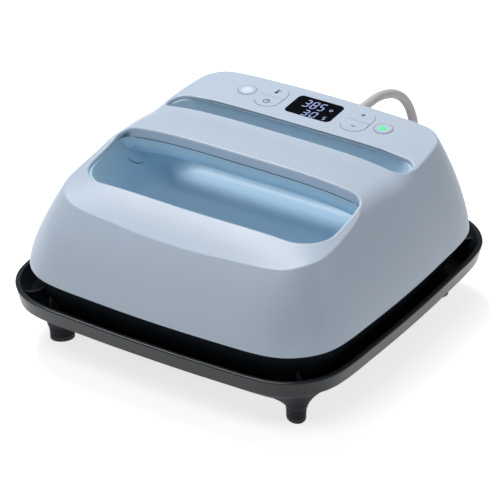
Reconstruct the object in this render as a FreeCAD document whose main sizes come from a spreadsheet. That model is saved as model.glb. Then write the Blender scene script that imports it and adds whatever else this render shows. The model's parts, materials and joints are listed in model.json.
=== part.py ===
import FreeCAD, Part
import math
import os
import re
import Sketcher

# Nine-inch craft heat press standing in its docking base.
# Frame: millimetres, +Z up, origin on the surface under the middle of the base,
# X to the operator's right, -Y towards the operator, +Y to the back where the cord leaves.

Vector = FreeCAD.Vector
X_AXIS, Y_AXIS, Z_AXIS = Vector(1, 0, 0), Vector(0, 1, 0), Vector(0, 0, 1)

doc = FreeCAD.newDocument("HeatPress")
sheet = doc.addObject("Spreadsheet::Sheet", "Sizes")

# ---------------------------------------------------------------------------
# Driving dimensions
# ---------------------------------------------------------------------------
SIZES = [
    # housing, outside
    ("shell_width", 275.8), ("shell_depth", 274.4), ("shell_corner", 51), ("shell_bulge", 3.2),
    ("shell_bottom", 65), ("shell_wall", 3),
    # how far each side leans in at lean_height above the bottom edge, and how the lean grows
    ("lean_height", 60), ("side_lean", 22.3), ("side_power", 1.33), ("front_lean", 31.4),
    ("front_power", 1.68), ("rear_lean", 15.4), ("rear_power", 1.88), ("corner_share", 0.76),
    # the top, row by row from the front: distance, height on the centre line, drop at crown_reach
    ("crown_reach", 110), ("crease_y", -112), ("crease_height", 117.5),
    ("opening_front_y", -80), ("opening_front_height", 133), ("opening_front_crown", 8),
    ("rim_y", -50), ("rim_height", 141), ("rim_crown", 11.5),
    ("handle_front_y", -13), ("handle_front_height", 146), ("handle_front_crown", 8.5),
    ("rim_end_rise", 3), ("slot_end_rise", 4.5), ("slot_side_rise", 1.6),
    ("handle_dip", 0.9), ("handle_crown", 7),
    ("handle_rear_y", 38), ("handle_rear_height", 142.5),
    ("panel_front_y", 63), ("panel_front_height", 137.5), ("panel_rear_y", 113),
    ("panel_rear_height", 140.6), ("panel_crown", 3),
    ("handle_roll", 22), ("edge_round", 1.6),
    # finger openings on both sides of the handle and the tub between them
    ("opening_half_width", 105), ("opening_front_corner", 27), ("opening_rear_corner", 10),
    ("opening_bow", 2), ("slot_half_width", 106), ("slot_corner", 10),
    ("tub_floor", 85), ("tub_wall", 2.5), ("tub_flush_height", 132), ("tub_floor_inset", 15),
    ("tub_floor_corner", 24), ("tub_floor_round", 14),
    # handle
    ("handle_cap_depth", 8), ("grip_bottom", 122), ("grip_flare", 9), ("grip_corner", 12),
    ("grip_wall", 3), ("grip_screw_seat", 0.4), ("grip_screw_x", 78), ("grip_screw_y", 11),
    ("grip_boss_radius", 5), ("grip_boss_height", 7), ("grip_screw_bite", 7),
    ("gusset_bottom", 118), ("gusset_round", 9),
    # lower housing
    ("skirt_bottom", 40), ("skirt_top", 70), ("skirt_wall", 2.5), ("skirt_bottom_inset", 13),
    ("skirt_waist", 52), ("skirt_waist_inset", 7.5), ("skirt_shoulder", 64), ("skirt_reveal", 3.8),
    ("skirt_top_inset", 5),
    ("skirt_flange", 2.5),
    ("deck_bottom", 60), ("deck_thickness", 3), ("deck_window_length", 60), ("deck_window_width", 20),
    ("seam", 0.15),
    # heat plate and what lies on it
    ("plate_size", 228.6), ("plate_corner", 30), ("plate_thickness", 10), ("plate_bottom", 33),
    ("plate_round", 1.5), ("plate_gap", 2.7),
    ("element_half", 68), ("element_corner", 26), ("element_radius", 4), ("element_fit", 0.2),
    ("terminal_half", 14), ("terminal_height", 68), ("lead_slot_length", 44), ("lead_slot_width", 13),
    ("clamp_size", 176), ("clamp_thickness", 1.2), ("blanket_size", 184), ("blanket_thickness", 8.4),
    ("shield_size", 188), ("shield_thickness", 1), ("shield_flange", 7), ("sheet_corner", 16),
    ("post_far", 100), ("post_near", 60), ("post_radius", 4), ("screw_clearance", 0.2),
    ("screw_radius", 1.8), ("screw_head_radius", 3.6), ("screw_head_height", 2.4),
    ("screw_reach", 17), ("small_screw_radius", 1.2), ("small_screw_head_radius", 2.4),
    ("small_screw_head_height", 1.6),
    ("plate_thread_depth", 6), ("sensor_radius", 5), ("sensor_height", 3), ("sensor_y", 50),
    ("fuse_radius", 1.8), ("fuse_length", 14), ("fuse_x", 30), ("fuse_y", -24),
    # housing bosses
    ("side_boss_x", 118), ("side_boss_y", 60), ("end_boss_x", 60), ("front_boss_y", -112),
    ("rear_boss_y", 118), ("boss_radius", 5), ("boss_height", 55), ("boss_grip", 20),
    # control panel
    ("panel_y", 90), ("window_length", 40.4), ("window_width", 26.8), ("window_corner", 4.5),
    ("window_fit", 0.15), ("window_flange", 2), ("window_flange_thickness", 1),
    ("display_thickness", 3.4), ("display_gap", 0.3),
    ("round_key_x", 61), ("round_key_radius", 6.9), ("pad_x", 38.6), ("pad_width", 21.4),
    ("pad_length", 31.4), ("pad_corner", 10.5), ("key_gap", 0.3), ("key_proud", 0.3),
    ("key_flange", 1.6), ("key_flange_thickness", 1.2), ("key_flange_gap", 0.7),
    ("key_stem_radius", 1.8), ("key_stem_end", 7), ("key_split", 0.25), ("pad_key_y", 7.9),
    ("switch_size", 6), ("plunger_radius", 1.6), ("plunger_height", 0.6), ("switch_gap", 1),
    ("board_depth", 12), ("board_length", 152), ("board_width", 38), ("board_thickness", 1.6),
    ("board_post_x", 71), ("board_post_y", 15), ("board_post_radius", 3),
    ("led_size", 3), ("led_height", 1.4), ("led_offset", 5.6),
    ("buzzer_radius", 6), ("buzzer_height", 8), ("buzzer_x", 46),
    # power board and what stands on it
    ("power_board_length", 150), ("power_board_width", 38), ("power_board_y", 93),
    ("power_board_lift", 6), ("power_post_inset", 5), ("power_post_radius", 3),
    ("transformer_length", 32), ("transformer_width", 28), ("transformer_height", 24),
    ("transformer_x", -46), ("relay_length", 19), ("relay_width", 15.5), ("relay_height", 15.5),
    ("relay_x", 62), ("capacitor_radius", 6), ("capacitor_height", 20), ("capacitor_x", -11),
    ("capacitor_pitch", 14), ("capacitor_y", 97), ("heatsink_length", 24), ("heatsink_width", 14),
    ("heatsink_height", 28), ("heatsink_x", 39), ("fin_count", 4), ("fin_depth", 8),
    ("fin_gap", 2.6), ("terminal_block_length", 22), ("terminal_block_width", 10),
    ("terminal_block_height", 11), ("terminal_block_x", 14), ("terminal_block_y", 86),
    ("ribbon_width", 20), ("ribbon_thickness", 0.8),
    ("ribbon_x", -55), ("ribbon_y", 76.5), ("lead_radius", 1.5), ("lead_gap", 0.2),
    ("left_lead_rise", 14), ("right_lead_rise", 8), ("sensor_lead_radius", 1.2), ("sensor_lead_x", -4),
    ("sensor_lead_inset", 3), ("mains_lead_rise", 18),
    # docking base
    ("tray_width", 289.8), ("tray_depth", 296.2), ("tray_corner", 53), ("tray_bulge", 2.9),
    ("tray_rim_height", 51.5), ("tray_rim", 3.8), ("tray_skirt_bottom", 38.8),
    ("tray_skirt_inset", 2.9), ("tray_ledge_inset", 8), ("tray_under_inset", 22.5),
    ("tray_floor_inset", 24), ("tray_floor", 31), ("tray_floor_thickness", 2.5),
    ("tray_shoulder_inset", 11), ("tray_shoulder_height", 40), ("tray_rim_round", 1.2),
    ("pan_bottom", 22), ("pan_floor_thickness", 2.5), ("pan_bottom_inset", 25),
    ("pan_inner_inset", 26), ("pan_lip_inset", 3.2), ("pan_lip_wall", 2.8),
    ("insulation_size", 230), ("insulation_corner", 26), ("mat_size", 206), ("mat_thickness", 1),
    ("mat_corner", 14), ("mat_dot_radius", 6), ("mat_dot_pitch", 44), ("mat_dot_count", 5),
    ("rest_gap", 0.3),
    ("foot_x", 104), ("foot_y", 103.5), ("foot_long", 9.5), ("foot_short", 7.2),
    ("foot_height", 4), ("foot_round", 1.4), ("leg_waist_height", 13), ("leg_waist", 1.12),
    ("leg_root", 1.75), ("leg_root_height", 28), ("rib_thickness", 3), ("rib_top", 48), ("rib_gap", 1),
    ("rib_scoop", 14), ("rib_scoop_reach", 40.5), ("rib_scoop_lift", 11.2),
    ("base_screw_x", 88), ("base_screw_y", 64), ("base_screw_reach", 2),
    # cord, its gland and its plug
    ("cord_diameter", 7.6), ("cord_height", 107.8), ("relief_end", 158), ("relief_collar_y", 133.5),
    ("relief_collar_radius", 10), ("relief_collar_thickness", 2.5), ("relief_neck_radius", 8.4),
    ("relief_tip_radius", 5.2), ("relief_root_radius", 8), ("relief_inner_y", 117.5),
    ("relief_flange_thickness", 3), ("relief_flange_radius", 11), ("relief_fit", 0.2),
    ("cord_pad_radius", 13), ("clip_grip", 0.5),
    ("clip_y", 104), ("clip_width", 9), ("clip_length", 30), ("clip_height", 12),
    ("clip_screw_x", 10.5), ("clip_shelf", 5),
    ("coil_x", -51.1), ("coil_y", 227.9), ("coil_mean_radius", 43), ("coil_across", 3),
    ("coil_layers", 2), ("coil_gap", 0.2), ("tie_width", 12), ("tie_thickness", 0.8),
    ("tie_angle", 215), ("plug_x", -80), ("plug_y", 253.3), ("plug_turn", 190), ("plug_length", 38),
    ("plug_width", 26), ("plug_height", 19), ("plug_neck_wall", 1.2),
    ("blade_length", 16), ("blade_width", 6.3), ("blade_thickness", 1.5), ("blade_pitch", 12.7),
    ("relief_plug_length", 22),
]
ALIASES = {alias for alias, _ in SIZES}
for row, (alias, number) in enumerate(SIZES, start=1):
    sheet.set(f"A{row}", alias)
    sheet.set(f"B{row}", str(number))
    sheet.setAlias(f"B{row}", alias)
doc.recompute()


def size(alias):
    """One driving dimension as a number."""
    return float(sheet.get(alias))


# ---------------------------------------------------------------------------
# Helpers: formulas bound to the sheet, primitives, and the list of finished pieces
# ---------------------------------------------------------------------------
pieces = []


def formula(text):
    """Turn bare size names into references to the sheet."""
    def refer(word):
        return "Sizes." + word[0] if word[0] in ALIASES else word[0]

    return re.sub(r"[a-z][a-z0-9_]*", refer, str(text))


def bind(item, **properties):
    for name, text in properties.items():
        item.setExpression(name, formula(text))


def place(item, x=0, y=0, z=0):
    for axis, text in (("x", x), ("y", y), ("z", z)):
        item.setExpression("Placement.Base." + axis, formula(text))
    return item


def box(name, length, width, height, x=0, y=0, z=0):
    """A block centred on x and y whose underside is at z."""
    item = doc.addObject("Part::Box", name)
    bind(item, Length=length, Width=width, Height=height)
    return place(item, f"{x} - ({length}) / 2", f"{y} - ({width}) / 2", z)


def rod(name, radius, height, x=0, y=0, z=0, along=Z_AXIS):
    item = doc.addObject("Part::Cylinder", name)
    bind(item, Radius=radius, Height=height)
    item.Placement = FreeCAD.Placement(Vector(), FreeCAD.Rotation(Z_AXIS, along))
    return place(item, x, y, z)


def join(name, *items):
    item = doc.addObject("Part::MultiFuse", name)
    item.Shapes = list(items)
    item.Refine = True
    return item


def cut(name, base, *tools):
    item = doc.addObject("Part::Cut", name)
    item.Base = base
    item.Tool = tools[0] if len(tools) == 1 else join(name + "_tools", *tools)
    return item


def overlap(name, first, second):
    item = doc.addObject("Part::Common", name)
    item.Base, item.Tool = first, second
    return item


def group(name, items):
    """Identical loose pieces kept in one node as separate solids."""
    item = doc.addObject("Part::Compound", name)
    item.Links = list(items)
    return item


def finished(item, label=None):
    """Give a sub-part the name that its file carries."""
    item.Label = label or item.Name
    pieces.append(item)
    return item


def rounded_rectangle(sketch, length, width, corner):
    """Closed outline centred on the sketch origin, its sizes bound to the sheet."""
    across, deep, radius = 100.0, 80.0, 10.0
    centres = [(across, deep), (-across, deep), (-across, -deep), (across, -deep)]
    right = math.pi / 2
    arcs = [sketch.addGeometry(Part.ArcOfCircle(Part.Circle(Vector(x, y, 0), Z_AXIS, radius),
                                                quarter * right, (quarter + 1) * right))
            for quarter, (x, y) in enumerate(centres)]
    ends = [(across, deep + radius, -across, deep + radius),
            (-across - radius, deep, -across - radius, -deep),
            (-across, -deep - radius, across, -deep - radius),
            (across + radius, -deep, across + radius, deep)]
    lines = [sketch.addGeometry(Part.LineSegment(Vector(a, b, 0), Vector(c, d, 0)))
             for a, b, c, d in ends]
    limit = Sketcher.Constraint
    for quarter in range(4):
        sketch.addConstraint(limit("Tangent", arcs[quarter], 2, lines[quarter], 1))
        sketch.addConstraint(limit("Tangent", lines[quarter], 2, arcs[(quarter + 1) % 4], 1))
        sketch.addConstraint(limit("Vertical" if quarter % 2 else "Horizontal", lines[quarter]))
    for other in arcs[1:]:
        sketch.addConstraint(limit("Equal", arcs[0], other))
    sketch.addConstraint(limit("Symmetric", arcs[0], 3, arcs[2], 3, -1, 1))
    bound = [(limit("Radius", arcs[0], radius), corner),
             (limit("DistanceX", arcs[1], 3, arcs[0], 3, 2 * across), f"{length} - 2 * ({corner})"),
             (limit("DistanceY", arcs[3], 3, arcs[0], 3, 2 * deep), f"{width} - 2 * ({corner})")]
    for constraint, text in bound:
        index = sketch.addConstraint(constraint)
        sketch.setExpression(f"Constraints[{index}]", formula(text))


def plate(name, length, width, corner, thickness, x=0, y=0, z=0):
    """A flat piece with rounded corners, its underside at z."""
    body = doc.addObject("PartDesign::Body", name)
    sketch = body.newObject("Sketcher::SketchObject", name + "_outline")
    ground = next(item for item in body.Origin.OriginFeatures if item.Role == "XY_Plane")
    sketch.AttachmentSupport = (ground, "")
    sketch.MapMode = "FlatFace"
    rounded_rectangle(sketch, length, width, corner)
    pad = body.newObject("PartDesign::Pad", name + "_pad")
    pad.Profile = sketch
    bind(pad, Length=thickness)
    return place(body, x, y, z)


def shaped(name, shape):
    """A free-form piece, worked out below from the same sizes."""
    item = doc.addObject("Part::Feature", name)
    item.Shape = shape
    return item


def spots(x, y):
    """The four places mirrored about both centre planes."""
    return [(f"{side} * ({x})", f"{end} * ({y})") for side in (-1, 1) for end in (-1, 1)]


PANEL_TILT = "atan((panel_rear_height - panel_front_height) / (panel_rear_y - panel_front_y))"
PANEL_HEIGHT = ("panel_front_height + (panel_y - panel_front_y)"
                " * (panel_rear_height - panel_front_height) / (panel_rear_y - panel_front_y)")


def onto_panel(item):
    """Lay a piece that was drawn flat, top at zero, onto the tilted control panel."""
    item.Placement = FreeCAD.Placement(Vector(), FreeCAD.Rotation(X_AXIS, panel_tilt()))
    item.setExpression("Placement.Rotation.Angle", formula(PANEL_TILT))
    return place(item, 0, "panel_y", PANEL_HEIGHT)


# ---------------------------------------------------------------------------
# Free-form surfaces of the housing and the tray
# ---------------------------------------------------------------------------
LARGE = 200.0       # reach of construction solids beyond the object
HEADROOM = 4.0      # how far construction solids stand above the handle
LOFT_STEPS = 6      # sections of the leaning walls above the bottom one
# shares of the half width, or of crown_reach, at which an outline or a row has its points
SIDE_STATIONS = (0, 0.35, 0.7)
CORNER_STATIONS = (2, 24, 45, 66, 88)
ROW_STATIONS = (0, 0.27, 0.55, 0.82, 1, 1.14, 1.3)
# (distance, rise) of the points by which a surface climbs out of the housing beyond the handle
CLIMB_AHEAD = ((137, 50), (67, 22), (37, 9))
CLIMB_BEHIND = ((24, 9), (52, 24), (112, 60))
FRONT_RUN_OUT = 38                          # how far the front slope runs on past its crease
PANEL_STATIONS = (0, 16, 33, 50, 90)        # distances back from the panel's front edge
RIM_TURNS = (0, 30, 60, 90)                 # degrees round an edge of the tray's rim
SLOT_SIDE_SHARE = 0.55                      # where the surface beside the slot starts to climb


def smooth_wire(points, closed=False):
    curve = Part.BSplineCurve()
    curve.interpolate(points, PeriodicFlag=closed)
    return Part.Wire([curve.toShape()])


def cushion_outline(half_x, half_y, corner, bulge, centre_y, z):
    """Square outline with round corners and bulged sides, starting at the middle of the back."""
    flat_x, flat_y = half_x - bulge - corner, half_y - bulge - corner
    turns = [math.radians(angle) for angle in CORNER_STATIONS]
    quarter = [(flat_x * u, half_y - bulge * u * u) for u in SIDE_STATIONS]
    quarter += [(flat_x + corner * math.sin(turn), flat_y + corner * math.cos(turn)) for turn in turns]
    quarter += [(half_x - bulge * u * u, flat_y * u) for u in reversed(SIDE_STATIONS)]
    half = quarter + [(x, -y) for x, y in reversed(quarter[:-1])]
    outline = half + [(-x, y) for x, y in half[-2:0:-1]]
    return smooth_wire([Vector(x, y + centre_y, z) for x, y in outline], closed=True)


def lean(z, side):
    rise = max(z - size("shell_bottom"), 0) / size("lean_height")
    return size(side + "_lean") * rise ** size(side + "_power")


def shell_section(z, inset=0.0):
    side, front, rear = (lean(z, name) for name in ("side", "front", "rear"))
    corner = size("shell_corner") - size("corner_share") * (side + front) / 2 - inset
    half_depth = size("shell_depth") / 2 - (front + rear) / 2 - inset
    return cushion_outline(size("shell_width") / 2 - side - inset, half_depth, corner,
                           size("shell_bulge"), (front - rear) / 2, z)


def shell_envelope(inset=0.0, below=0.0):
    """The leaning walls as one solid, reaching up past the handle."""
    bottom, top = size("shell_bottom"), size("handle_front_height") + HEADROOM
    heights = [bottom + (top - bottom) * step / LOFT_STEPS for step in range(1, LOFT_STEPS + 1)]
    return Part.makeLoft([shell_section(z, inset) for z in [bottom - below] + heights], True, False)


def above(rows, lower=0.0, shift=0.0):
    """Everything above a surface given by rows of (y, height, drop at crown_reach)."""
    reach = size("crown_reach")
    shares = [-share for share in ROW_STATIONS[:0:-1]] + list(ROW_STATIONS)
    wires = []
    for y, height, crown in rows:
        wires.append(smooth_wire([Vector(reach * share, y + shift, height - lower - crown * share ** 4)
                                  for share in shares]))
    surface = Part.makeLoft(wires, False, False)
    return surface.Faces[0].extrude(Z_AXIS * LARGE)


def panel_tilt():
    rise = size("panel_rear_height") - size("panel_front_height")
    return math.degrees(math.atan2(rise, size("panel_rear_y") - size("panel_front_y")))


def front_rows():
    rise = size("opening_front_height") - size("crease_height")
    slope = rise / (size("opening_front_y") - size("crease_y"))
    return [
        (size("crease_y") - FRONT_RUN_OUT, size("crease_height") - FRONT_RUN_OUT * slope, 0),
        (size("crease_y"), size("crease_height"), 0),
        (size("opening_front_y"), size("opening_front_height"), size("opening_front_crown")),
        (size("rim_y"), size("rim_height"), size("rim_crown")),
        (size("handle_front_y"), size("handle_front_height") + size("rim_end_rise"),
         size("handle_front_crown")),
    ]


def rear_rows():
    """The flat control panel; beside the slot its surface climbs out over the end of the handle."""
    front, slope = size("panel_front_y"), math.tan(math.radians(panel_tilt()))
    height, crown = size("panel_front_height"), size("panel_crown")
    flat = [(front + along, height + slope * along, crown) for along in PANEL_STATIONS]
    slot = size("handle_rear_y") - front
    climb = [(front + slot, size("handle_rear_height") + size("slot_end_rise"), crown),
             (front + slot * SLOT_SIDE_SHARE, height + slope * slot + size("slot_side_rise"), crown)]
    return climb + flat


def roof_rows():
    """Top of the handle; ahead of it and behind it the surface climbs out of the housing."""
    front, rear, crown = size("handle_front_y"), size("handle_rear_y"), size("handle_crown")
    front_top, rear_top = size("handle_front_height"), size("handle_rear_height")
    middle_top = (2 * front_top + rear_top) / 3 - size("handle_dip") / 2
    return ([(front - away, front_top + rise, crown) for away, rise in CLIMB_AHEAD]
            + [(front, front_top, crown), ((front + rear) / 2, middle_top, crown)]
            + [(rear, rear_top, crown)]
            + [(rear + away, rear_top + rise, crown) for away, rise in CLIMB_BEHIND])


def slab(front_y, rear_y, bottom=-LARGE, top=2 * LARGE):
    return Part.makeBox(2 * LARGE, rear_y - front_y, top - bottom, Vector(-LARGE, front_y, bottom))


def arc_through(start, middle, end):
    return Part.Arc(start, middle, end).toShape()


def corner_arc(centre_x, centre_y, radius, first, last, z):
    angles = [math.radians(angle) for angle in (first, (first + last) / 2, last)]
    return arc_through(*[Vector(centre_x + radius * math.cos(angle), centre_y + radius * math.sin(angle), z)
                         for angle in angles])


def opening_outline(half_width, front_y, rear_y, front_corner, rear_corner, z, bow=0.0):
    """Rounded plan outline of an opening; bow moves the middle of the front edge forward."""
    front_x, rear_x = half_width - front_corner, half_width - rear_corner
    front_side, rear_side = front_y + front_corner, rear_y - rear_corner

    def line(start_x, start_y, end_x, end_y):
        return Part.makeLine(Vector(start_x, start_y, z), Vector(end_x, end_y, z))

    front = line(-front_x, front_y, front_x, front_y)
    if bow:
        front = arc_through(Vector(-front_x, front_y, z), Vector(0, front_y - bow, z),
                            Vector(front_x, front_y, z))
    return Part.Wire([
        front,
        corner_arc(front_x, front_side, front_corner, -90, 0, z),
        line(half_width, front_side, half_width, rear_side),
        corner_arc(rear_x, rear_side, rear_corner, 0, 90, z),
        line(rear_x, rear_y, -rear_x, rear_y),
        corner_arc(-rear_x, rear_side, rear_corner, 90, 180, z),
        line(-half_width, rear_side, -half_width, front_side),
        corner_arc(-front_x, front_side, front_corner, 180, 270, z),
    ])


def upright(outline, height):
    """A solid straight up from a closed plan outline."""
    return Part.Face(outline).extrude(Z_AXIS * height)


def front_opening():
    outline = opening_outline(size("opening_half_width"), size("opening_front_y"), size("handle_front_y"),
                              size("opening_front_corner"), size("opening_rear_corner"), size("tub_floor"),
                              size("opening_bow"))
    return upright(outline, LARGE)


def rear_slot():
    outline = opening_outline(size("slot_half_width"), size("handle_rear_y"), size("panel_front_y"),
                              size("slot_corner"), size("slot_corner"), size("tub_floor"))
    return upright(outline, LARGE)


def tub_block(grow=0.0, floor_drop=0.0):
    """The tapering, round-bottomed space under both openings; grow adds a wall all round."""
    low = size("tub_floor") - floor_drop
    high = size("handle_front_height") + HEADROOM
    taper = size("tub_floor_inset") / (size("tub_flush_height") - size("tub_floor"))
    wires = []
    for z, rear_corner in ((low, size("tub_floor_corner")), (high, size("opening_rear_corner"))):
        inset = (size("tub_flush_height") - z) * taper - grow
        wires.append(opening_outline(size("opening_half_width") - inset, size("opening_front_y") + inset,
                                     size("panel_front_y") - inset, size("opening_front_corner"),
                                     rear_corner, z, size("opening_bow")))
    block = Part.makeLoft(wires, True, True)
    floor = [edge for edge in block.Edges if edge.BoundBox.ZMax < low + 0.01]
    return block.makeFillet(size("tub_floor_round") + grow, floor)


def panel_placement():
    along = size("panel_y") - size("panel_front_y")
    height = size("panel_front_height") + along * math.tan(math.radians(panel_tilt()))
    return FreeCAD.Placement(Vector(0, size("panel_y"), height), FreeCAD.Rotation(X_AXIS, panel_tilt()))


def on_panel(shape):
    placed = shape.copy()
    placed.Placement = panel_placement().multiply(shape.Placement)
    return placed


# ---------------------------------------------------------------------------
# Top shell: walls, front lip, handle cap and control panel in one moulding
# ---------------------------------------------------------------------------
SHARP_ANGLE = 14        # degrees between two faces whose edge is rounded
SHORTEST_EDGE = 0.2


def sharp_edges(shape, lowest):
    """Edges above a height where two faces meet at more than the angle."""
    found = []
    for edge in shape.Edges:
        if edge.BoundBox.ZMax < lowest or edge.Length < SHORTEST_EDGE:
            continue
        point = edge.valueAt((edge.FirstParameter + edge.LastParameter) / 2)
        if point.z < lowest:
            continue
        normals = []
        for face in shape.ancestorsOfType(edge, Part.Face):
            normals.append(face.normalAt(*face.Surface.parameter(point)))
        if len(normals) == 2 and math.degrees(normals[0].getAngle(normals[1])) > SHARP_ANGLE:
            found.append(edge)
    return found


def housing_solid(inset=0.0):
    """Leaning walls rolled over into the handle, cut away ahead of it and behind it; inset shrinks it."""
    rough = shell_envelope(inset, below=inset).cut(above(roof_rows(), inset))
    shoulders = [edge for edge in rough.Edges
                 if edge.BoundBox.ZMin > size("crease_height")
                 and edge.BoundBox.YLength > 2 * edge.BoundBox.XLength
                 and abs(edge.CenterOfMass.x) > size("opening_half_width") / 2]
    rolled = rough.makeFillet(size("handle_roll") - inset, shoulders)
    return rolled.cut([above(front_rows(), inset, inset), above(rear_rows(), inset, -inset)])


def cavity_solid():
    """The space inside the top shell; the handle cap keeps a wall down to its parting line."""
    wall = size("shell_wall")
    cap = above(roof_rows(), size("handle_cap_depth"))
    front = slab(size("handle_front_y"), size("handle_front_y") + wall)
    rear = slab(size("handle_rear_y") - wall, size("handle_rear_y"))
    return housing_solid(wall).cut([cap.common(front), cap.common(rear)])


def boss_places():
    side_x, side_y, end_x = size("side_boss_x"), size("side_boss_y"), size("end_boss_x")
    places = [(side * side_x, end * side_y) for side in (-1, 1) for end in (-1, 1)]
    places += [(side * end_x, size("front_boss_y")) for side in (-1, 1)]
    places += [(side * end_x, size("rear_boss_y")) for side in (-1, 1)]
    return places


def shell_bosses(outer):
    deck_top = size("deck_bottom") + size("deck_thickness")
    bosses = []
    for x, y in boss_places():
        foot = Vector(x, y, deck_top)
        boss = Part.makeCylinder(size("boss_radius"), size("boss_height"), foot)
        bosses.append(boss.cut(Part.makeCylinder(size("screw_radius"), size("boss_grip"), foot)))
    return [boss.common(outer) for boss in bosses]


def wall_block(front_y, outer):
    """The shelf inside the back wall that the cord clamp is screwed to."""
    height = size("cord_height") - size("cord_diameter") / 2 - size("clip_grip")
    shelf = Part.makeBox(size("clip_length"), LARGE, size("clip_shelf"),
                         Vector(-size("clip_length") / 2, front_y, height - size("clip_shelf")))
    holes = [Part.makeCylinder(size("small_screw_radius"), LARGE,
                               Vector(side * size("clip_screw_x"), size("clip_y"), height - LARGE / 2))
             for side in (-1, 1)]
    return shelf.common(outer).cut(holes)


def panel_cutters():
    """Holes through the control panel for the window, the round keys and the two long pads."""
    key_gap, window_gap = size("key_gap"), 2 * size("window_fit")
    depth = 2 * size("board_depth")
    low = size("key_stem_end") - depth
    holes = [rounded_prism(size("window_length") + window_gap, size("window_width") + window_gap,
                           size("window_corner"), depth, low)]
    for side in (-1, 1):
        pad = rounded_prism(size("pad_width") + 2 * key_gap, size("pad_length") + 2 * key_gap,
                            size("pad_corner") + key_gap, depth, low)
        holes += [Part.makeCylinder(size("round_key_radius") + key_gap, depth,
                                    Vector(side * size("round_key_x"), 0, low)),
                  pad.translated(Vector(side * size("pad_x"), 0, 0))]
    return [on_panel(hole) for hole in holes]


def rounded_prism(length, width, corner, height, z=0.0):
    return upright(opening_outline(length / 2, -width / 2, width / 2, corner, corner, z), height)


def board_posts():
    """Posts under the control panel that the control board is screwed to."""
    length = size("board_depth") - size("shell_wall") / 2
    posts = []
    for side in (-1, 1):
        for end in (-1, 1):
            spot = Vector(side * size("board_post_x"), end * size("board_post_y"), -size("board_depth"))
            post = Part.makeCylinder(size("board_post_radius"), length, spot)
            posts.append(on_panel(post.cut(Part.makeCylinder(size("small_screw_radius"), length / 2, spot))))
    return posts


def cap_bosses(outer):
    bosses = []
    for side in (-1, 1):
        for end in (-1, 1):
            spot = Vector(*grip_screw_place(side, end), size("grip_bottom") + size("grip_boss_height"))
            boss = Part.makeCylinder(size("grip_boss_radius"), LARGE, spot)
            bore = Part.makeCylinder(size("screw_radius"), size("grip_screw_bite") + HEADROOM, spot)
            bosses.append(boss.common(outer).cut(bore))
    return bosses


def grip_screw_place(side, end):
    middle = (size("handle_front_y") + size("handle_rear_y")) / 2
    return side * size("grip_screw_x"), middle + end * size("grip_screw_y")


housing = housing_solid()
opened = housing.cut([front_opening(), rear_slot()])
rounded = opened.makeFillet(size("edge_round"), sharp_edges(opened, size("crease_height") - 8))
pad_start = size("relief_inner_y") + size("relief_flange_thickness")
cord_pad = Part.makeCylinder(size("cord_pad_radius"), size("relief_collar_y") - pad_start,
                             Vector(0, pad_start, size("cord_height")), Y_AXIS)
inside = shell_bosses(housing) + cap_bosses(housing) + board_posts() + [cord_pad]
inside.append(wall_block(size("clip_y") - size("clip_width") / 2, housing))
cord_hole = Part.makeCylinder(size("relief_neck_radius") + size("relief_fit"), LARGE,
                              Vector(0, size("clip_y"), size("cord_height")), Y_AXIS)
flange_seat = Part.makeCylinder(size("relief_flange_radius") + size("relief_fit"),
                                size("relief_flange_thickness") + size("relief_fit"),
                                Vector(0, size("relief_inner_y") - size("relief_fit"), size("cord_height")),
                                Y_AXIS)
hollow = rounded.cut(cavity_solid())
cutters = panel_cutters() + [cord_hole, flange_seat]
top_shell = finished(shaped("top_shell", hollow.fuse(inside).cut(cutters)))


# ---------------------------------------------------------------------------
# Recess liner and lower half of the handle
# ---------------------------------------------------------------------------
def recess_liner():
    wall, seam = size("tub_wall"), size("seam")
    walls = tub_block(wall, wall).cut(tub_block())
    handle = slab(size("handle_front_y"), size("handle_rear_y"))
    under_cap = above(roof_rows(), size("handle_cap_depth") + seam).common(handle)
    return walls.common(housing_solid(size("shell_wall") + seam)).cut(under_cap)


def grip_section(x, inset=0.0):
    """Outline of the grip across the handle: upright sides and round lower edges."""
    flare = size("grip_flare") * (x / size("crown_reach")) ** 4
    front, rear = size("handle_front_y") + inset, size("handle_rear_y") - inset
    bottom, top = size("grip_bottom") - flare + inset, size("handle_front_height") + HEADROOM
    corner = size("grip_corner") - inset
    diagonal = corner * (1 - math.sqrt(0.5))
    line = Part.LineSegment
    return Part.Wire([
        line(Vector(x, front, top), Vector(x, front, bottom + corner)).toShape(),
        arc_through(Vector(x, front, bottom + corner), Vector(x, front + diagonal, bottom + diagonal),
                    Vector(x, front + corner, bottom)),
        line(Vector(x, front + corner, bottom), Vector(x, rear - corner, bottom)).toShape(),
        arc_through(Vector(x, rear - corner, bottom), Vector(x, rear - diagonal, bottom + diagonal),
                    Vector(x, rear, bottom + corner)),
        line(Vector(x, rear, bottom + corner), Vector(x, rear, top)).toShape(),
        line(Vector(x, rear, top), Vector(x, front, top)).toShape(),
    ])


GRIP_STATIONS = (0, 0.45, 0.7, 0.86, 1)
GRIP_OVERRUN = 5.0      # how far the grip is drawn on into the walls before it is trimmed


def grip_form(reach, inset=0.0):
    shares = [-share for share in GRIP_STATIONS[:0:-1]] + list(GRIP_STATIONS)
    return Part.makeLoft([grip_section(reach * share, inset) for share in shares], True, False)


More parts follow.
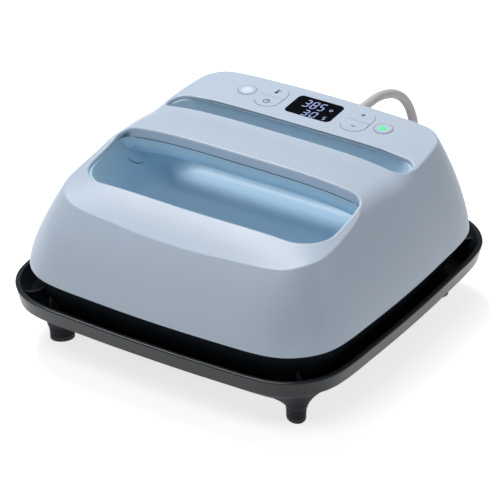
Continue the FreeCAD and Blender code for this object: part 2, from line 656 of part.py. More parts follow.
def grip_gussets():
    """Round inner corners where the grip runs into the recess, their lower ends rounded off."""
    low, rounding = size("gusset_bottom"), size("gusset_round")
    gussets = []
    for side in (-1, 1):
        for reach, face_y, corner, turn in (
                (size("opening_half_width"), size("handle_front_y"), size("opening_rear_corner"), -1),
                (size("slot_half_width"), size("handle_rear_y"), size("slot_corner"), 1)):
            near, far = sorted((side * (reach - corner), side * (reach + GRIP_OVERRUN)))
            front = min(face_y, face_y + turn * corner)
            axis = Vector(side * (reach - corner), face_y + turn * corner, low)
            ring = Part.makeCylinder(corner + rounding, rounding, axis)
            torus = Part.makeTorus(corner + rounding, rounding, axis + Z_AXIS * rounding)
            block = Part.makeBox(far - near, corner, LARGE, Vector(near, front, low))
            gussets.append(block.cut([Part.makeCylinder(corner, LARGE, axis), ring.cut(torus)]))
    return gussets


def lower_grip():
    seam, wall = size("seam"), size("grip_wall")
    outer = grip_form(size("opening_half_width") + GRIP_OVERRUN)
    hollow_reach = size("opening_half_width") - size("tub_floor_inset")
    boss_top = size("grip_bottom") + size("grip_boss_height")
    seat = size("grip_bottom") + size("grip_screw_seat")
    bosses, holes = [], []
    for side in (-1, 1):
        for end in (-1, 1):
            x, y = grip_screw_place(side, end)
            boss = Part.makeCylinder(size("grip_boss_radius"), LARGE, Vector(x, y, boss_top - LARGE))
            bosses.append(boss.common(outer))
            holes.append(Part.makeCylinder(size("screw_radius") + size("screw_clearance"), LARGE,
                                           Vector(x, y, boss_top - LARGE / 2)))
            holes.append(Part.makeCylinder(size("screw_head_radius") + size("screw_clearance"), LARGE,
                                           Vector(x, y, seat - LARGE)))
    skin = outer.cut(grip_form(hollow_reach, wall)).fuse(grip_gussets())
    trimmed = skin.common(tub_block(-seam)).cut(above(roof_rows(), size("handle_cap_depth") + seam))
    return trimmed.fuse(bosses).cut(holes)


finished(shaped("grip_recess_liner", recess_liner()))
finished(shaped("handle_lower_grip", lower_grip()))


def screw(name, x, y, seat, reach, up=True, radius="screw_radius"):
    """Pan-head screw; seat is the face that its head bears on, reach the length of its shank."""
    head_radius = radius.replace("_radius", "_head_radius")
    head_height = radius.replace("_radius", "_head_height")
    if up:
        head = rod(name + "_head", head_radius, head_height, x, y, f"{seat} - {head_height}")
        shank = rod(name + "_shank", radius, reach, x, y, seat)
    else:
        head = rod(name + "_head", head_radius, head_height, x, y, seat)
        shank = rod(name + "_shank", radius, reach, x, y, f"{seat} - ({reach})")
    return join(name, head, shank)


def screw_group(name, places, seat, reach, up=True, radius="screw_radius"):
    screws = [screw(f"{name}_{number}", x, y, seat, reach, up, radius)
              for number, (x, y) in enumerate(places, start=1)]
    return group(name, screws)


HANDLE_MIDDLE = "(handle_front_y + handle_rear_y) / 2"
finished(screw_group("grip_screws",
                     [(f"{side} * grip_screw_x", f"{HANDLE_MIDDLE} + {end} * grip_screw_y")
                      for side in (-1, 1) for end in (-1, 1)],
                     "grip_bottom + grip_screw_seat", "grip_boss_height + grip_screw_bite"))


# ---------------------------------------------------------------------------
# Lower housing with the deck that everything inside is fastened to
# ---------------------------------------------------------------------------
def skirt_section(z, inset):
    return cushion_outline(size("shell_width") / 2 - inset, size("shell_depth") / 2 - inset,
                           size("shell_corner") - inset, size("shell_bulge"), 0, z)


def skirt_form(grow=0.0, below=0.0):
    profile = [(size("skirt_bottom"), size("skirt_bottom_inset")),
               (size("skirt_waist"), size("skirt_waist_inset")),
               (size("skirt_shoulder"), size("skirt_reveal")), (size("skirt_top"), size("skirt_top_inset"))]
    if below:
        profile.insert(0, (size("skirt_bottom") - below, size("skirt_bottom_inset")))
    return Part.makeLoft([skirt_section(z, inset - grow) for z, inset in profile], True, True)


def level(bottom, top):
    return Part.makeBox(2 * LARGE, 2 * LARGE, top - bottom, Vector(-LARGE, -LARGE, bottom))


def drilled(radius, places, bottom, top):
    return [Part.makeCylinder(radius, top - bottom, Vector(x, y, bottom)) for x, y in places]


def standoff_places():
    far, near = size("post_far"), size("post_near")
    return [(side * x, end * y)
            for x, y in ((far, near), (near, far)) for side in (-1, 1) for end in (-1, 1)]


def power_post_places():
    x = size("power_board_length") / 2 - size("power_post_inset")
    y = size("power_board_width") / 2 - size("power_post_inset")
    return [(side * x, size("power_board_y") + end * y) for side in (-1, 1) for end in (-1, 1)]


def lower_housing():
    deck_bottom = size("deck_bottom")
    deck_top = deck_bottom + size("deck_thickness")
    flange_top = size("skirt_bottom") + size("skirt_flange")
    inner = skirt_form(-size("skirt_wall"))
    opening = size("plate_size") + 2 * size("plate_gap")
    clearance = size("screw_radius") + size("screw_clearance")
    shell = skirt_form().cut([
        inner.common(level(deck_top, LARGE)), inner.common(level(flange_top, deck_bottom)),
        rounded_prism(opening, opening, size("plate_corner") + size("plate_gap"), flange_top)])
    post_top = deck_top + size("power_board_lift")
    posts = drilled(size("power_post_radius"), power_post_places(), deck_top, post_top)
    length, width = size("deck_window_length"), size("deck_window_width")
    window = Part.makeBox(length, width, size("deck_thickness"),
                          Vector(-length / 2, size("element_half") - width / 2, deck_bottom))
    holes = drilled(clearance, boss_places() + standoff_places(), deck_bottom, deck_top)
    bores = drilled(size("screw_radius"), power_post_places(), deck_bottom, post_top)
    return shell.fuse(posts).cut([window] + holes + bores)


finished(shaped("lower_housing", lower_housing()))
finished(screw_group("shell_screws",
                     spots("side_boss_x", "side_boss_y")
                     + [(f"{side} * end_boss_x", end)
                        for side in (-1, 1) for end in ("front_boss_y", "rear_boss_y")],
                     "deck_bottom", "deck_thickness + screw_reach"))


# ---------------------------------------------------------------------------
# Heat plate and the stack on it
# ---------------------------------------------------------------------------
PLATE_TOP = "plate_bottom + plate_thickness"
CLAMP_BOTTOM = PLATE_TOP + " + element_radius"
BLANKET_BOTTOM = CLAMP_BOTTOM + " + clamp_thickness"
SHIELD_BOTTOM = BLANKET_BOTTOM + " + blanket_thickness"
STANDOFFS = spots("post_far", "post_near") + spots("post_near", "post_far")
DECK_TOP = "deck_bottom + deck_thickness"


def plate_top():
    return size("plate_bottom") + size("plate_thickness")


def element_loop(radius):
    """The heating loop, half sunk in the plate, open at the back where its two ends turn up."""
    half, corner, gap = size("element_half"), size("element_corner"), size("terminal_half")
    z = plate_top()
    flat = half - corner
    line = Part.LineSegment
    edges = [
        line(Vector(gap, half, z), Vector(flat, half, z)).toShape(),
        corner_arc(flat, flat, corner, 90, 0, z),
        line(Vector(half, flat, z), Vector(half, -flat, z)).toShape(),
        corner_arc(flat, -flat, corner, 0, -90, z),
        line(Vector(flat, -half, z), Vector(-flat, -half, z)).toShape(),
        corner_arc(-flat, -flat, corner, -90, -180, z),
        line(Vector(-half, -flat, z), Vector(-half, flat, z)).toShape(),
        corner_arc(-flat, flat, corner, 180, 90, z),
        line(Vector(-flat, half, z), Vector(-gap, half, z)).toShape(),
    ]
    loop = tube(Part.Wire(edges), radius)
    return loop.fuse([Part.makeSphere(radius, Vector(side * gap, half, z)) for side in (-1, 1)])


def tube(wire, radius):
    """A round bar or lead along a path."""
    first = wire.Edges[0]
    start, along = first.valueAt(first.FirstParameter), first.tangentAt(first.FirstParameter)
    return wire.makePipeShell([Part.Wire(Part.makeCircle(radius, start, along))], True, False)


def heat_plate():
    edge = size("plate_size")
    blank = rounded_prism(edge, edge, size("plate_corner"), size("plate_thickness"), size("plate_bottom"))
    lowest = [item for item in blank.Edges if item.BoundBox.ZMax < size("plate_bottom") + 0.01]
    blank = blank.makeFillet(size("plate_round"), lowest)
    threads = drilled(size("screw_radius"), standoff_places(),
                      plate_top() - size("plate_thread_depth"), plate_top())
    return blank.cut([element_loop(size("element_radius") + size("element_fit"))] + threads)


def heating_element():
    loop = element_loop(size("element_radius"))
    ends = [Part.makeCylinder(size("element_radius"), size("terminal_height") - plate_top(),
                              Vector(side * size("terminal_half"), size("element_half"), plate_top()))
            for side in (-1, 1)]
    return loop.fuse(ends).removeSplitter()


finished(shaped("heat_plate", heat_plate()))
finished(shaped("heating_element", heating_element()))


def slotted(name, blank, z, thickness):
    """A flat piece over the plate with a slot for the leads and the two ends of the element."""
    slot = box(name + "_slot", "lead_slot_length", "lead_slot_width", thickness, 0, "element_half", z)
    return finished(cut(name, blank, slot))


slotted("element_clamp_plate",
        plate("clamp_blank", "clamp_size", "clamp_size", "sheet_corner", "clamp_thickness", 0, 0,
              CLAMP_BOTTOM),
        CLAMP_BOTTOM, "clamp_thickness")
slotted("insulation_blanket",
        plate("blanket_blank", "blanket_size", "blanket_size", "sheet_corner", "blanket_thickness", 0, 0,
              BLANKET_BOTTOM),
        BLANKET_BOTTOM, "blanket_thickness")
shield_outer = plate("shield_outer", "shield_size", "shield_size", "sheet_corner + shield_thickness",
                     "shield_thickness + shield_flange", 0, 0, f"{SHIELD_BOTTOM} - shield_flange")
SHIELD_INNER = "shield_size - 2 * shield_thickness"
shield_inner = plate("shield_inner", SHIELD_INNER, SHIELD_INNER, "sheet_corner", "shield_flange", 0, 0,
                     f"{SHIELD_BOTTOM} - shield_flange")
slotted("heat_shield", cut("shield_tray", shield_outer, shield_inner), SHIELD_BOTTOM, "shield_thickness")

STANDOFF_HEIGHT = f"deck_bottom - ({PLATE_TOP})"
standoffs = [cut(f"standoff_{number}",
                 rod(f"standoff_{number}_outer", "post_radius", STANDOFF_HEIGHT, x, y, PLATE_TOP),
                 rod(f"standoff_{number}_bore", "screw_radius + screw_clearance", STANDOFF_HEIGHT,
                     x, y, PLATE_TOP))
             for number, (x, y) in enumerate(STANDOFFS, start=1)]
finished(group("plate_standoffs", standoffs))
finished(screw_group("plate_screws", STANDOFFS, DECK_TOP,
                     f"{DECK_TOP} - ({PLATE_TOP}) + plate_thread_depth", up=False))
finished(rod("temperature_sensor", "sensor_radius", "sensor_height", 0, "sensor_y", PLATE_TOP))
finished(rod("thermal_fuse", "fuse_radius", "fuse_length", "fuse_x - fuse_length / 2", "fuse_y",
             f"{PLATE_TOP} + fuse_radius", X_AXIS))


# ---------------------------------------------------------------------------
# Display, keys and control board, drawn flat with the panel face at zero
# ---------------------------------------------------------------------------
BOARD_TOP = "-board_depth"
FLANGE_TOP = "-(shell_wall + key_flange_gap)"
WINDOW_FOOT = "-(shell_wall + window_flange_thickness)"
MODULE_BOTTOM = f"{WINDOW_FOOT} - display_gap - display_thickness"
ROUND_KEY_DROP = "panel_crown * (round_key_x / crown_reach)^4"
BOARD_POSTS = spots("board_post_x", "board_post_y")

WINDOW_OVERALL = ("window_length + 2 * window_flange", "window_width + 2 * window_flange")
window_top = plate("window_pane", "window_length", "window_width", "window_corner", "shell_wall",
                   0, 0, "-shell_wall")
window_foot = plate("window_foot", *WINDOW_OVERALL, "window_corner", "window_flange_thickness",
                    0, 0, WINDOW_FOOT)
finished(onto_panel(join("display_window", window_top, window_foot)))
finished(onto_panel(group("display_module", [
    box("display_glass", *WINDOW_OVERALL, "display_thickness", 0, 0, MODULE_BOTTOM)])))
finished(onto_panel(group("display_backlight", [
    box("backlight_box", "window_length", "window_width", f"{MODULE_BOTTOM} + board_depth",
        0, 0, BOARD_TOP)])))


def key_cap(name, footprint, x, y, top):
    """Cap, retaining flange and stem of one key; footprint(name, grow, bottom, top) draws its outline."""
    foot = f"{FLANGE_TOP} - key_flange_thickness"
    cap = footprint(name + "_cap", "0", foot, top)
    flange = footprint(name + "_flange", "key_flange", foot, FLANGE_TOP)
    stem = rod(name + "_stem", "key_stem_radius", f"key_stem_end + {foot}", x, y, "-key_stem_end")
    return finished(onto_panel(join(name, cap, flange, stem)))


def round_key(name, side):
    x = f"{side} * round_key_x"

    def footprint(part, grow, bottom, top):
        return rod(part, f"round_key_radius + {grow}", f"{top} - ({bottom})", x, 0, bottom)

    return key_cap(name, footprint, x, 0, f"key_proud - {ROUND_KEY_DROP}")


def pad_key(name, side, end):
    """One half of a long pad, parted from the other half across the middle."""
    x = f"{side} * pad_x"

    def footprint(part, grow, bottom, top):
        height = f"{top} - ({bottom})"
        whole = plate(part + "_whole", f"pad_width + 2 * ({grow})", f"pad_length + 2 * ({grow})",
                      f"pad_corner + {grow}", height, x, 0, bottom)
        half = box(part + "_half", f"pad_width + 2 * ({grow})", "pad_length", height, x,
                   f"{end} * (pad_length / 2 + key_split)", bottom)
        return overlap(part, whole, half)

    return key_cap(name, footprint, x, f"{end} * pad_key_y", "key_proud")


round_key("power_button", -1)
round_key("start_button", 1)
pad_key("temperature_button", -1, 1)
pad_key("timer_button", -1, -1)
pad_key("increase_button", 1, 1)
pad_key("decrease_button", 1, -1)

KEY_PLACES = [(f"{side} * round_key_x", "0") for side in (-1, 1)] + spots("pad_x", "pad_key_y")
SWITCH_HEIGHT = "board_depth - key_stem_end - switch_gap - plunger_height"
switches = [join(f"switch_{number}",
                 box(f"switch_{number}_case", "switch_size", "switch_size", SWITCH_HEIGHT, x, y, BOARD_TOP),
                 rod(f"switch_{number}_plunger", "plunger_radius", "plunger_height", x, y,
                     f"{BOARD_TOP} + {SWITCH_HEIGHT}"))
            for number, (x, y) in enumerate(KEY_PLACES, start=1)]
finished(onto_panel(group("key_switches", switches)))
leds = [box(f"led_{number}", "led_size", "led_size", "led_height",
            f"{side} * (round_key_x + led_offset)", 0, BOARD_TOP)
        for number, side in enumerate((-1, 1), start=1)]
finished(onto_panel(group("indicator_leds", leds)))

BOARD_FOOT = f"{BOARD_TOP} - board_thickness"
board_blank = plate("control_board_blank", "board_length", "board_width", "small_screw_head_radius",
                    "board_thickness", 0, 0, BOARD_FOOT)
board_holes = [rod(f"control_board_hole_{number}", "small_screw_radius + screw_clearance",
                   "board_thickness", x, y, BOARD_FOOT)
               for number, (x, y) in enumerate(BOARD_POSTS, start=1)]
finished(onto_panel(cut("control_board", board_blank, *board_holes)))
finished(onto_panel(screw_group("control_board_screws", BOARD_POSTS, BOARD_FOOT,
                                "board_thickness + board_depth / 3", radius="small_screw_radius")))
finished(onto_panel(group("buzzer", [
    rod("buzzer_can", "buzzer_radius", "buzzer_height", "buzzer_x", 0,
        f"{BOARD_FOOT} - buzzer_height")])))


# ---------------------------------------------------------------------------
# Power board behind the recess, with what stands on it
# ---------------------------------------------------------------------------
POWER_BOARD = f"{DECK_TOP} + power_board_lift"
POWER_TOP = f"{POWER_BOARD} + board_thickness"
POWER_POSTS = [(f"{side} * (power_board_length / 2 - power_post_inset)",
                f"power_board_y + {end} * (power_board_width / 2 - power_post_inset)")
               for side in (-1, 1) for end in (-1, 1)]
power_blank = box("power_board_blank", "power_board_length", "power_board_width", "board_thickness", 0,
                  "power_board_y", POWER_BOARD)
power_holes = [rod(f"power_board_hole_{number}", "screw_radius + screw_clearance",
                   "board_thickness", x, y, POWER_BOARD)
               for number, (x, y) in enumerate(POWER_POSTS, start=1)]
finished(cut("power_board", power_blank, *power_holes))
finished(screw_group("power_board_screws", POWER_POSTS, POWER_TOP, "power_board_lift", up=False))
finished(box("transformer", "transformer_length", "transformer_width", "transformer_height",
             "transformer_x", "power_board_y", POWER_TOP))
finished(box("relay", "relay_length", "relay_width", "relay_height", "relay_x", "power_board_y",
             POWER_TOP))
finished(group("filter_capacitors", [
    rod(f"capacitor_{number}", "capacitor_radius", "capacitor_height",
        f"capacitor_x + {side} * capacitor_pitch / 2", "capacitor_y", POWER_TOP)
    for number, side in enumerate((-1, 1), start=1)]))
finished(box("terminal_block", "terminal_block_length", "terminal_block_width",
             "terminal_block_height", "terminal_block_x", "terminal_block_y", POWER_TOP))
sink_blank = box("heatsink_blank", "heatsink_length", "heatsink_width", "heatsink_height",
                 "heatsink_x", "power_board_y", POWER_TOP)
FIN_PITCH = "heatsink_length / fin_count"
fin_slots = [box(f"heatsink_slot_{number}", "fin_gap", "fin_depth", "heatsink_height",
                 f"heatsink_x - heatsink_length / 2 + ({number} + 0.5) * {FIN_PITCH}",
                 "power_board_y + (heatsink_width - fin_depth) / 2", POWER_TOP)
             for number in range(int(size("fin_count")))]
finished(cut("triac_heatsink", sink_blank, *fin_slots))
RIBBON_TOP = (f"panel_front_height + (ribbon_y - panel_front_y) * tan({PANEL_TILT})"
              f" - (board_depth + board_thickness) / cos({PANEL_TILT})")
finished(box("board_ribbon", "ribbon_width", "ribbon_thickness",
             f"{RIBBON_TOP} - ({POWER_TOP}) - seam", "ribbon_x", "ribbon_y", POWER_TOP))


# ---------------------------------------------------------------------------
# Leads: straight runs joined by tangent arcs
# ---------------------------------------------------------------------------
ARC_SHARE = 0.45    # part of the shorter run that an arc takes at a corner


def route_corners(points):
    """Each corner of a route with its arc: where it starts, its middle, where it ends and its radius."""
    corners = []
    for before, corner, after in zip(points, points[1:], points[2:]):
        back, ahead = before - corner, after - corner
        reach = ARC_SHARE * min(back.Length, ahead.Length)
        back.normalize()
        ahead.normalize()
        half_turn = (math.pi - back.getAngle(ahead)) / 2
        radius = reach / math.tan(half_turn)
        inward = back + ahead
        inward.normalize()
        middle = corner + inward * (radius / math.cos(half_turn) - radius)
        corners.append((corner + back * reach, middle, corner + ahead * reach, radius))
    return corners


def rounded_route(points):
    edges, start = [], points[0]
    for first, middle, last, _ in route_corners(points):
        edges += [Part.makeLine(start, first), arc_through(first, middle, last)]
        start = last
    return Part.Wire(edges + [Part.makeLine(start, points[-1])])


def power_top():
    return size("deck_bottom") + size("deck_thickness") + size("power_board_lift") + size("board_thickness")


def heater_leads():
    """From the two ends of the element up and over to the front row of the terminal block."""
    top = power_top() + size("terminal_block_height")
    front = size("terminal_block_y") - size("terminal_block_width") / 4
    leads = []
    for side, rise in ((-1, size("left_lead_rise")), (1, size("right_lead_rise"))):
        x = size("terminal_block_x") + side * size("terminal_block_length") / 5
        start = Vector(side * size("terminal_half"), size("element_half"), size("terminal_height"))
        route = [start, Vector(start.x, start.y, top + rise), Vector(x, front, top + rise),
                 Vector(x, front, top)]
        leads.append(tube(rounded_route(route), size("lead_radius")))
    return Part.makeCompound(leads)


def mains_leads():
    """From the end of the cord's jacket down to the back row of the terminal block."""
    top = power_top() + size("terminal_block_height")
    back = size("terminal_block_y") + size("terminal_block_width") / 4
    leads = []
    for side in (-1, 1):
        x = size("terminal_block_x") + side * size("terminal_block_length") / 5
        aside = side * (size("lead_radius") + size("lead_gap"))
        start = Vector(aside, size("clip_y") - size("clip_width"), size("cord_height"))
        route = [start, Vector(aside, back, start.z),
                 Vector(x, back, top + size("mains_lead_rise")), Vector(x, back, top)]
        leads.append(tube(rounded_route(route), size("lead_radius")))
    return Part.makeCompound(leads)


def sensor_leads():
    """From the sensor under the clamp plate back to the slot, up and onto the power board."""
    radius = size("sensor_lead_radius")
    low, slot = plate_top() + radius + size("lead_gap"), size("element_half")
    edge = size("power_board_y") - size("power_board_width") / 2 + size("sensor_lead_inset")
    high = power_top() + size("terminal_block_height")
    x = size("sensor_lead_x")
    start = Vector(0, size("sensor_y") + size("sensor_radius"), low)
    route = [start, Vector(0, slot, low), Vector(0, slot, high), Vector(x, edge, high),
             Vector(x, edge, power_top())]
    return tube(rounded_route(route), radius)


finished(shaped("heater_leads", heater_leads()))
finished(shaped("mains_inner_leads", mains_leads()))
finished(shaped("sensor_leads", sensor_leads()))


# ---------------------------------------------------------------------------
# Strain relief, cord clamp and the cord's stretch inside the housing
# ---------------------------------------------------------------------------
CORD_RADIUS = "cord_diameter / 2"
FLANGE_REAR = "relief_inner_y + relief_flange_thickness"


def along_cord(name, radius, start, end):
    return rod(name, radius, f"{end} - ({start})", 0, start, "cord_height", Y_AXIS)


relief_cone = doc.addObject("Part::Cone", "relief_cone")
bind(relief_cone, Radius1="relief_root_radius", Radius2="relief_tip_radius",
     Height="relief_end - relief_collar_y")
relief_cone.Placement = FreeCAD.Placement(Vector(), FreeCAD.Rotation(Z_AXIS, Y_AXIS))
place(relief_cone, 0, "relief_collar_y", "cord_height")
relief_body = join("relief_body",
                   along_cord("relief_flange", "relief_flange_radius", "relief_inner_y", FLANGE_REAR),
                   along_cord("relief_neck", "relief_neck_radius", "relief_inner_y", "relief_collar_y"),
                   along_cord("relief_collar", "relief_collar_radius", "relief_collar_y",
                              "relief_collar_y + relief_collar_thickness"),
                   relief_cone)
finished(cut("cord_strain_relief", relief_body,
             along_cord("relief_bore", CORD_RADIUS, "relief_inner_y", "relief_end")))
finished(along_cord("cord_lead", CORD_RADIUS, "clip_y - clip_width", "relief_end"))

SHELF_TOP = "cord_height - cord_diameter / 2 - clip_grip"
CLIP_SCREWS = [(f"{side} * clip_screw_x", "clip_y") for side in (-1, 1)]
clip_block = box("clip_block", "clip_length", "clip_width", "clip_height", 0, "clip_y", SHELF_TOP)
clip_bore = along_cord("clip_bore", CORD_RADIUS, "clip_y - clip_width", "clip_y + clip_width")
clip_holes = [rod(f"clip_hole_{number}", "small_screw_radius + screw_clearance", "clip_height",
                  x, y, SHELF_TOP)
              for number, (x, y) in enumerate(CLIP_SCREWS, start=1)]
finished(cut("cord_clamp", clip_block, clip_bore, *clip_holes))
finished(screw_group("cord_clamp_screws", CLIP_SCREWS, f"{SHELF_TOP} + clip_height",
                     "clip_height + clip_shelf / 2", up=False, radius="small_screw_radius"))


# ---------------------------------------------------------------------------
# Docking base
# ---------------------------------------------------------------------------
def tray_section(z, inset):
    return cushion_outline(size("tray_width") / 2 - inset, size("tray_depth") / 2 - inset,
                           size("tray_corner") - inset, size("tray_bulge"), 0, z)


def tray_form(profile):
    return Part.makeLoft([tray_section(z, inset) for z, inset in profile], True, True)


def rim_edge(inset, towards):
    """Outlines that round one edge of the tray's rim, from its wall to its flat top."""
    radius, top = size("tray_rim_round"), size("tray_rim_height")
    turns = [math.radians(angle) for angle in RIM_TURNS]
    return [(top - radius + radius * math.sin(turn), inset + towards * radius * (1 - math.cos(turn)))
            for turn in turns]


def tray_space(grow=0.0):
    """The hollow of the tray, from its floor to above its rim."""
    rim, shoulder = size("tray_rim_height"), size("tray_shoulder_height")
    slope = (size("tray_shoulder_inset") - size("tray_rim")) / (rim - shoulder)
    mouth = rim_edge(size("tray_rim") + size("tray_rim_round") * slope, -1)
    profile = [(size("tray_floor"), size("tray_floor_inset")), (shoulder, size("tray_shoulder_inset"))]
    profile += mouth + [(rim + HEADROOM, mouth[-1][1])]
    return tray_form([(z, inset - grow) for z, inset in profile])


def locating_ribs():
    """Upright ribs on the diagonals that centre the press in the tray."""
    centre_x = size("tray_width") / 2 - size("tray_bulge") - size("tray_corner")
    centre_y = size("tray_depth") / 2 - size("tray_bulge") - size("tray_corner")
    floor, reach, scoop = size("tray_floor"), size("tray_corner"), size("rib_scoop")
    thickness, top = size("rib_thickness"), size("rib_top")
    blank = Part.makeBox(reach, thickness, top - floor, Vector(0, -thickness / 2, floor))
    hollow = Part.makeCylinder(scoop, thickness,
                               Vector(size("rib_scoop_reach"), -thickness / 2, top + size("rib_scoop_lift")),
                               Y_AXIS)
    blank = blank.cut(hollow)
    ribs = []
    for side in (-1, 1):
        for end in (-1, 1):
            rib = blank.copy()
            turn = FreeCAD.Rotation(Z_AXIS, math.degrees(math.atan2(end, side)))
            rib.Placement = FreeCAD.Placement(Vector(side * centre_x, end * centre_y, 0), turn)
            ribs.append(rib)
    gap = size("rib_gap")
    clear = skirt_form(gap, below=size("skirt_bottom") - floor)
    space = tray_space(grow=gap)
    return [rib.common(space).cut(clear) for rib in ribs]


def base_screw_places():
    return [(side * size("base_screw_x"), end * size("base_screw_y")) for side in (-1, 1) for end in (-1, 1)]


def base_tray():
    floor_bottom = size("tray_floor") - size("tray_floor_thickness")
    skirt_bottom = size("tray_skirt_bottom")
    bowl = tray_form([(floor_bottom, size("tray_under_inset")), (skirt_bottom, size("tray_ledge_inset"))])
    slope = size("tray_skirt_inset") / (size("tray_rim_height") - skirt_bottom)
    rim = tray_form([(skirt_bottom, size("tray_skirt_inset"))]
                    + rim_edge(size("tray_rim_round") * slope, 1))
    tray = bowl.fuse(rim).cut(tray_space())
    threads = drilled(size("screw_radius"), base_screw_places(), floor_bottom,
                      floor_bottom + size("base_screw_reach"))
    return tray.fuse(locating_ribs()).cut(threads)


def foot_place(side, end):
    turn = FreeCAD.Rotation(Z_AXIS, math.degrees(math.atan2(end, side)))
    return FreeCAD.Placement(Vector(side * size("foot_x"), end * size("foot_y"), 0), turn)


def foot_outline(share, z):
    oval = Part.Ellipse(Vector(0, 0, z), size("foot_long") * share, size("foot_short") * share)
    return Part.Wire([oval.toShape()])


def legs():
    waist, root = size("leg_waist"), size("leg_root")
    profile = [(size("foot_height"), 1), (size("leg_waist_height"), waist),
               (size("pan_bottom"), (waist + root) / 2), (size("leg_root_height"), root)]
    leg = Part.makeLoft([foot_outline(share, z) for z, share in profile], True, False)
    placed = []
    for side in (-1, 1):
        for end in (-1, 1):
            copy = leg.copy()
            copy.Placement = foot_place(side, end)
            placed.append(copy)
    return placed


def base_pan():
    lip = size("tray_skirt_bottom")
    floor_top = size("pan_bottom") + size("pan_floor_thickness")
    outer = tray_form([(size("pan_bottom"), size("pan_bottom_inset")), (lip, size("pan_lip_inset"))])
    inner = tray_form([(floor_top, size("pan_inner_inset")),
                       (lip, size("pan_lip_inset") + size("pan_lip_wall"))])
    holes = drilled(size("screw_radius") + size("screw_clearance"), base_screw_places(),
                    size("pan_bottom"), floor_top)
    return outer.fuse(legs()).cut([inner, level(lip, LARGE)] + holes)


finished(shaped("base_tray", base_tray()))
finished(shaped("base_pan", base_pan()))

BASE_SCREWS = spots("base_screw_x", "base_screw_y")
INSULATION_BOTTOM = "pan_bottom + pan_floor_thickness"
INSULATION_HEIGHT = f"tray_floor - tray_floor_thickness - ({INSULATION_BOTTOM})"
insulation_blank = plate("insulation_blank", "insulation_size", "insulation_size", "insulation_corner",
                         INSULATION_HEIGHT, 0, 0, INSULATION_BOTTOM)
insulation_holes = [rod(f"insulation_hole_{number}", "screw_radius + screw_clearance",
                        INSULATION_HEIGHT, x, y, INSULATION_BOTTOM)
                    for number, (x, y) in enumerate(BASE_SCREWS, start=1)]
finished(cut("base_insulation_board", insulation_blank, *insulation_holes))
finished(screw_group("base_screws", BASE_SCREWS, "pan_bottom",
                     "tray_floor - tray_floor_thickness + base_screw_reach - pan_bottom"))

dot_count = int(size("mat_dot_count"))
dots = [rod(f"mat_dot_{column}_{row}", "mat_dot_radius",
            "plate_bottom - rest_gap - tray_floor - mat_thickness",
            f"({column} - (mat_dot_count - 1) / 2) * mat_dot_pitch",
            f"({row} - (mat_dot_count - 1) / 2) * mat_dot_pitch", "tray_floor + mat_thickness")
        for column in range(dot_count) for row in range(dot_count)]
mat_sheet = plate("mat_sheet", "mat_size", "mat_size", "mat_corner", "mat_thickness", 0, 0,
                  "tray_floor")
finished(join("rest_mat", mat_sheet, *dots))


def rubber_foot():
    pad = Part.Face(foot_outline(1, 0)).extrude(Z_AXIS * size("foot_height"))
    lowest = [edge for edge in pad.Edges if edge.BoundBox.ZMax < 0.01]
    return pad.makeFillet(size("foot_round"), lowest)


for side, side_name in ((-1, "left"), (1, "right")):
    for end, end_name in ((-1, "front"), (1, "rear")):
        foot = finished(shaped(f"rubber_foot_{end_name}_{side_name}", rubber_foot()))
        foot.Placement = foot_place(side, end)


# ---------------------------------------------------------------------------
# Power cord behind the press: the free stretch, the coil, its tie and the plug
# ---------------------------------------------------------------------------
def coil_centre():
    return Vector(size("coil_x"), size("coil_y"), 0)


def coil_turns():
    """Mean radii of the turns side by side, and the height of each layer's centre line."""
    pitch = size("cord_diameter") + size("coil_gap")
    first = size("coil_mean_radius") - pitch * (size("coil_across") - 1) / 2
    radii = [first + pitch * turn for turn in range(int(size("coil_across")))]
    lowest = size("tie_thickness") + size("cord_diameter") / 2
    return radii, [lowest + pitch * layer for layer in range(int(size("coil_layers")))]


CORD_ROUTE = [
    (0, 158, 107.8), (0, 170.8, 107.8), (0.3, 183.4, 108.3), (0.9, 196, 106.2), (1.8, 208.6, 102),
    (3.1, 219.6, 95), (4.7, 227.8, 85.2), (6.5, 232.4, 73.2), (8, 234.2, 60.3), (8.9, 236.4, 47.2),
    (8.6, 241.2, 34.7), (6.6, 248.4, 23.4), (2.2, 257.6, 14.1), (-5.2, 267, 7.8), (-15.2, 275, 4.8),
    (-27.4, 281.2, 4.6),
]
cord_points = [Vector(*point) for point in CORD_ROUTE]
cord_wire = rounded_route(cord_points)
cord_tube = tube(cord_wire, size("cord_diameter") / 2)
finished(shaped("cord", cord_tube))
radii, layers = coil_turns()
print("cord radii", [round(corner[3], 1) for corner in route_corners(cord_points)])
print("cord runs", [round((b - a).Length, 1) for a, b in zip(cord_points, cord_points[1:])])
print("cord volume / section times length",
      round(cord_tube.Volume / (cord_wire.Length * math.pi * (size("cord_diameter") / 2) ** 2), 4))
print("length from the strain relief to the coil", round(cord_wire.Length))


COIL_ROUNDING = 0.8     # part of the cord's radius by which the ring's edges are rounded


def cord_coil():
    """The wound turns as one closed ring of their outer shape."""
    radius = size("cord_diameter") / 2
    inner, outer = radii[0] - radius, radii[-1] + radius
    low, high = layers[0] - radius, layers[-1] + radius
    ring = Part.makeCylinder(outer, high - low, coil_centre() + Z_AXIS * low)
    ring = ring.cut(Part.makeCylinder(inner, high - low, coil_centre() + Z_AXIS * low))
    rims = [edge for edge in ring.Edges if edge.BoundBox.ZLength < 0.01]
    return ring.makeFillet(radius * COIL_ROUNDING, rims)


finished(shaped("cord_coil", cord_coil()))


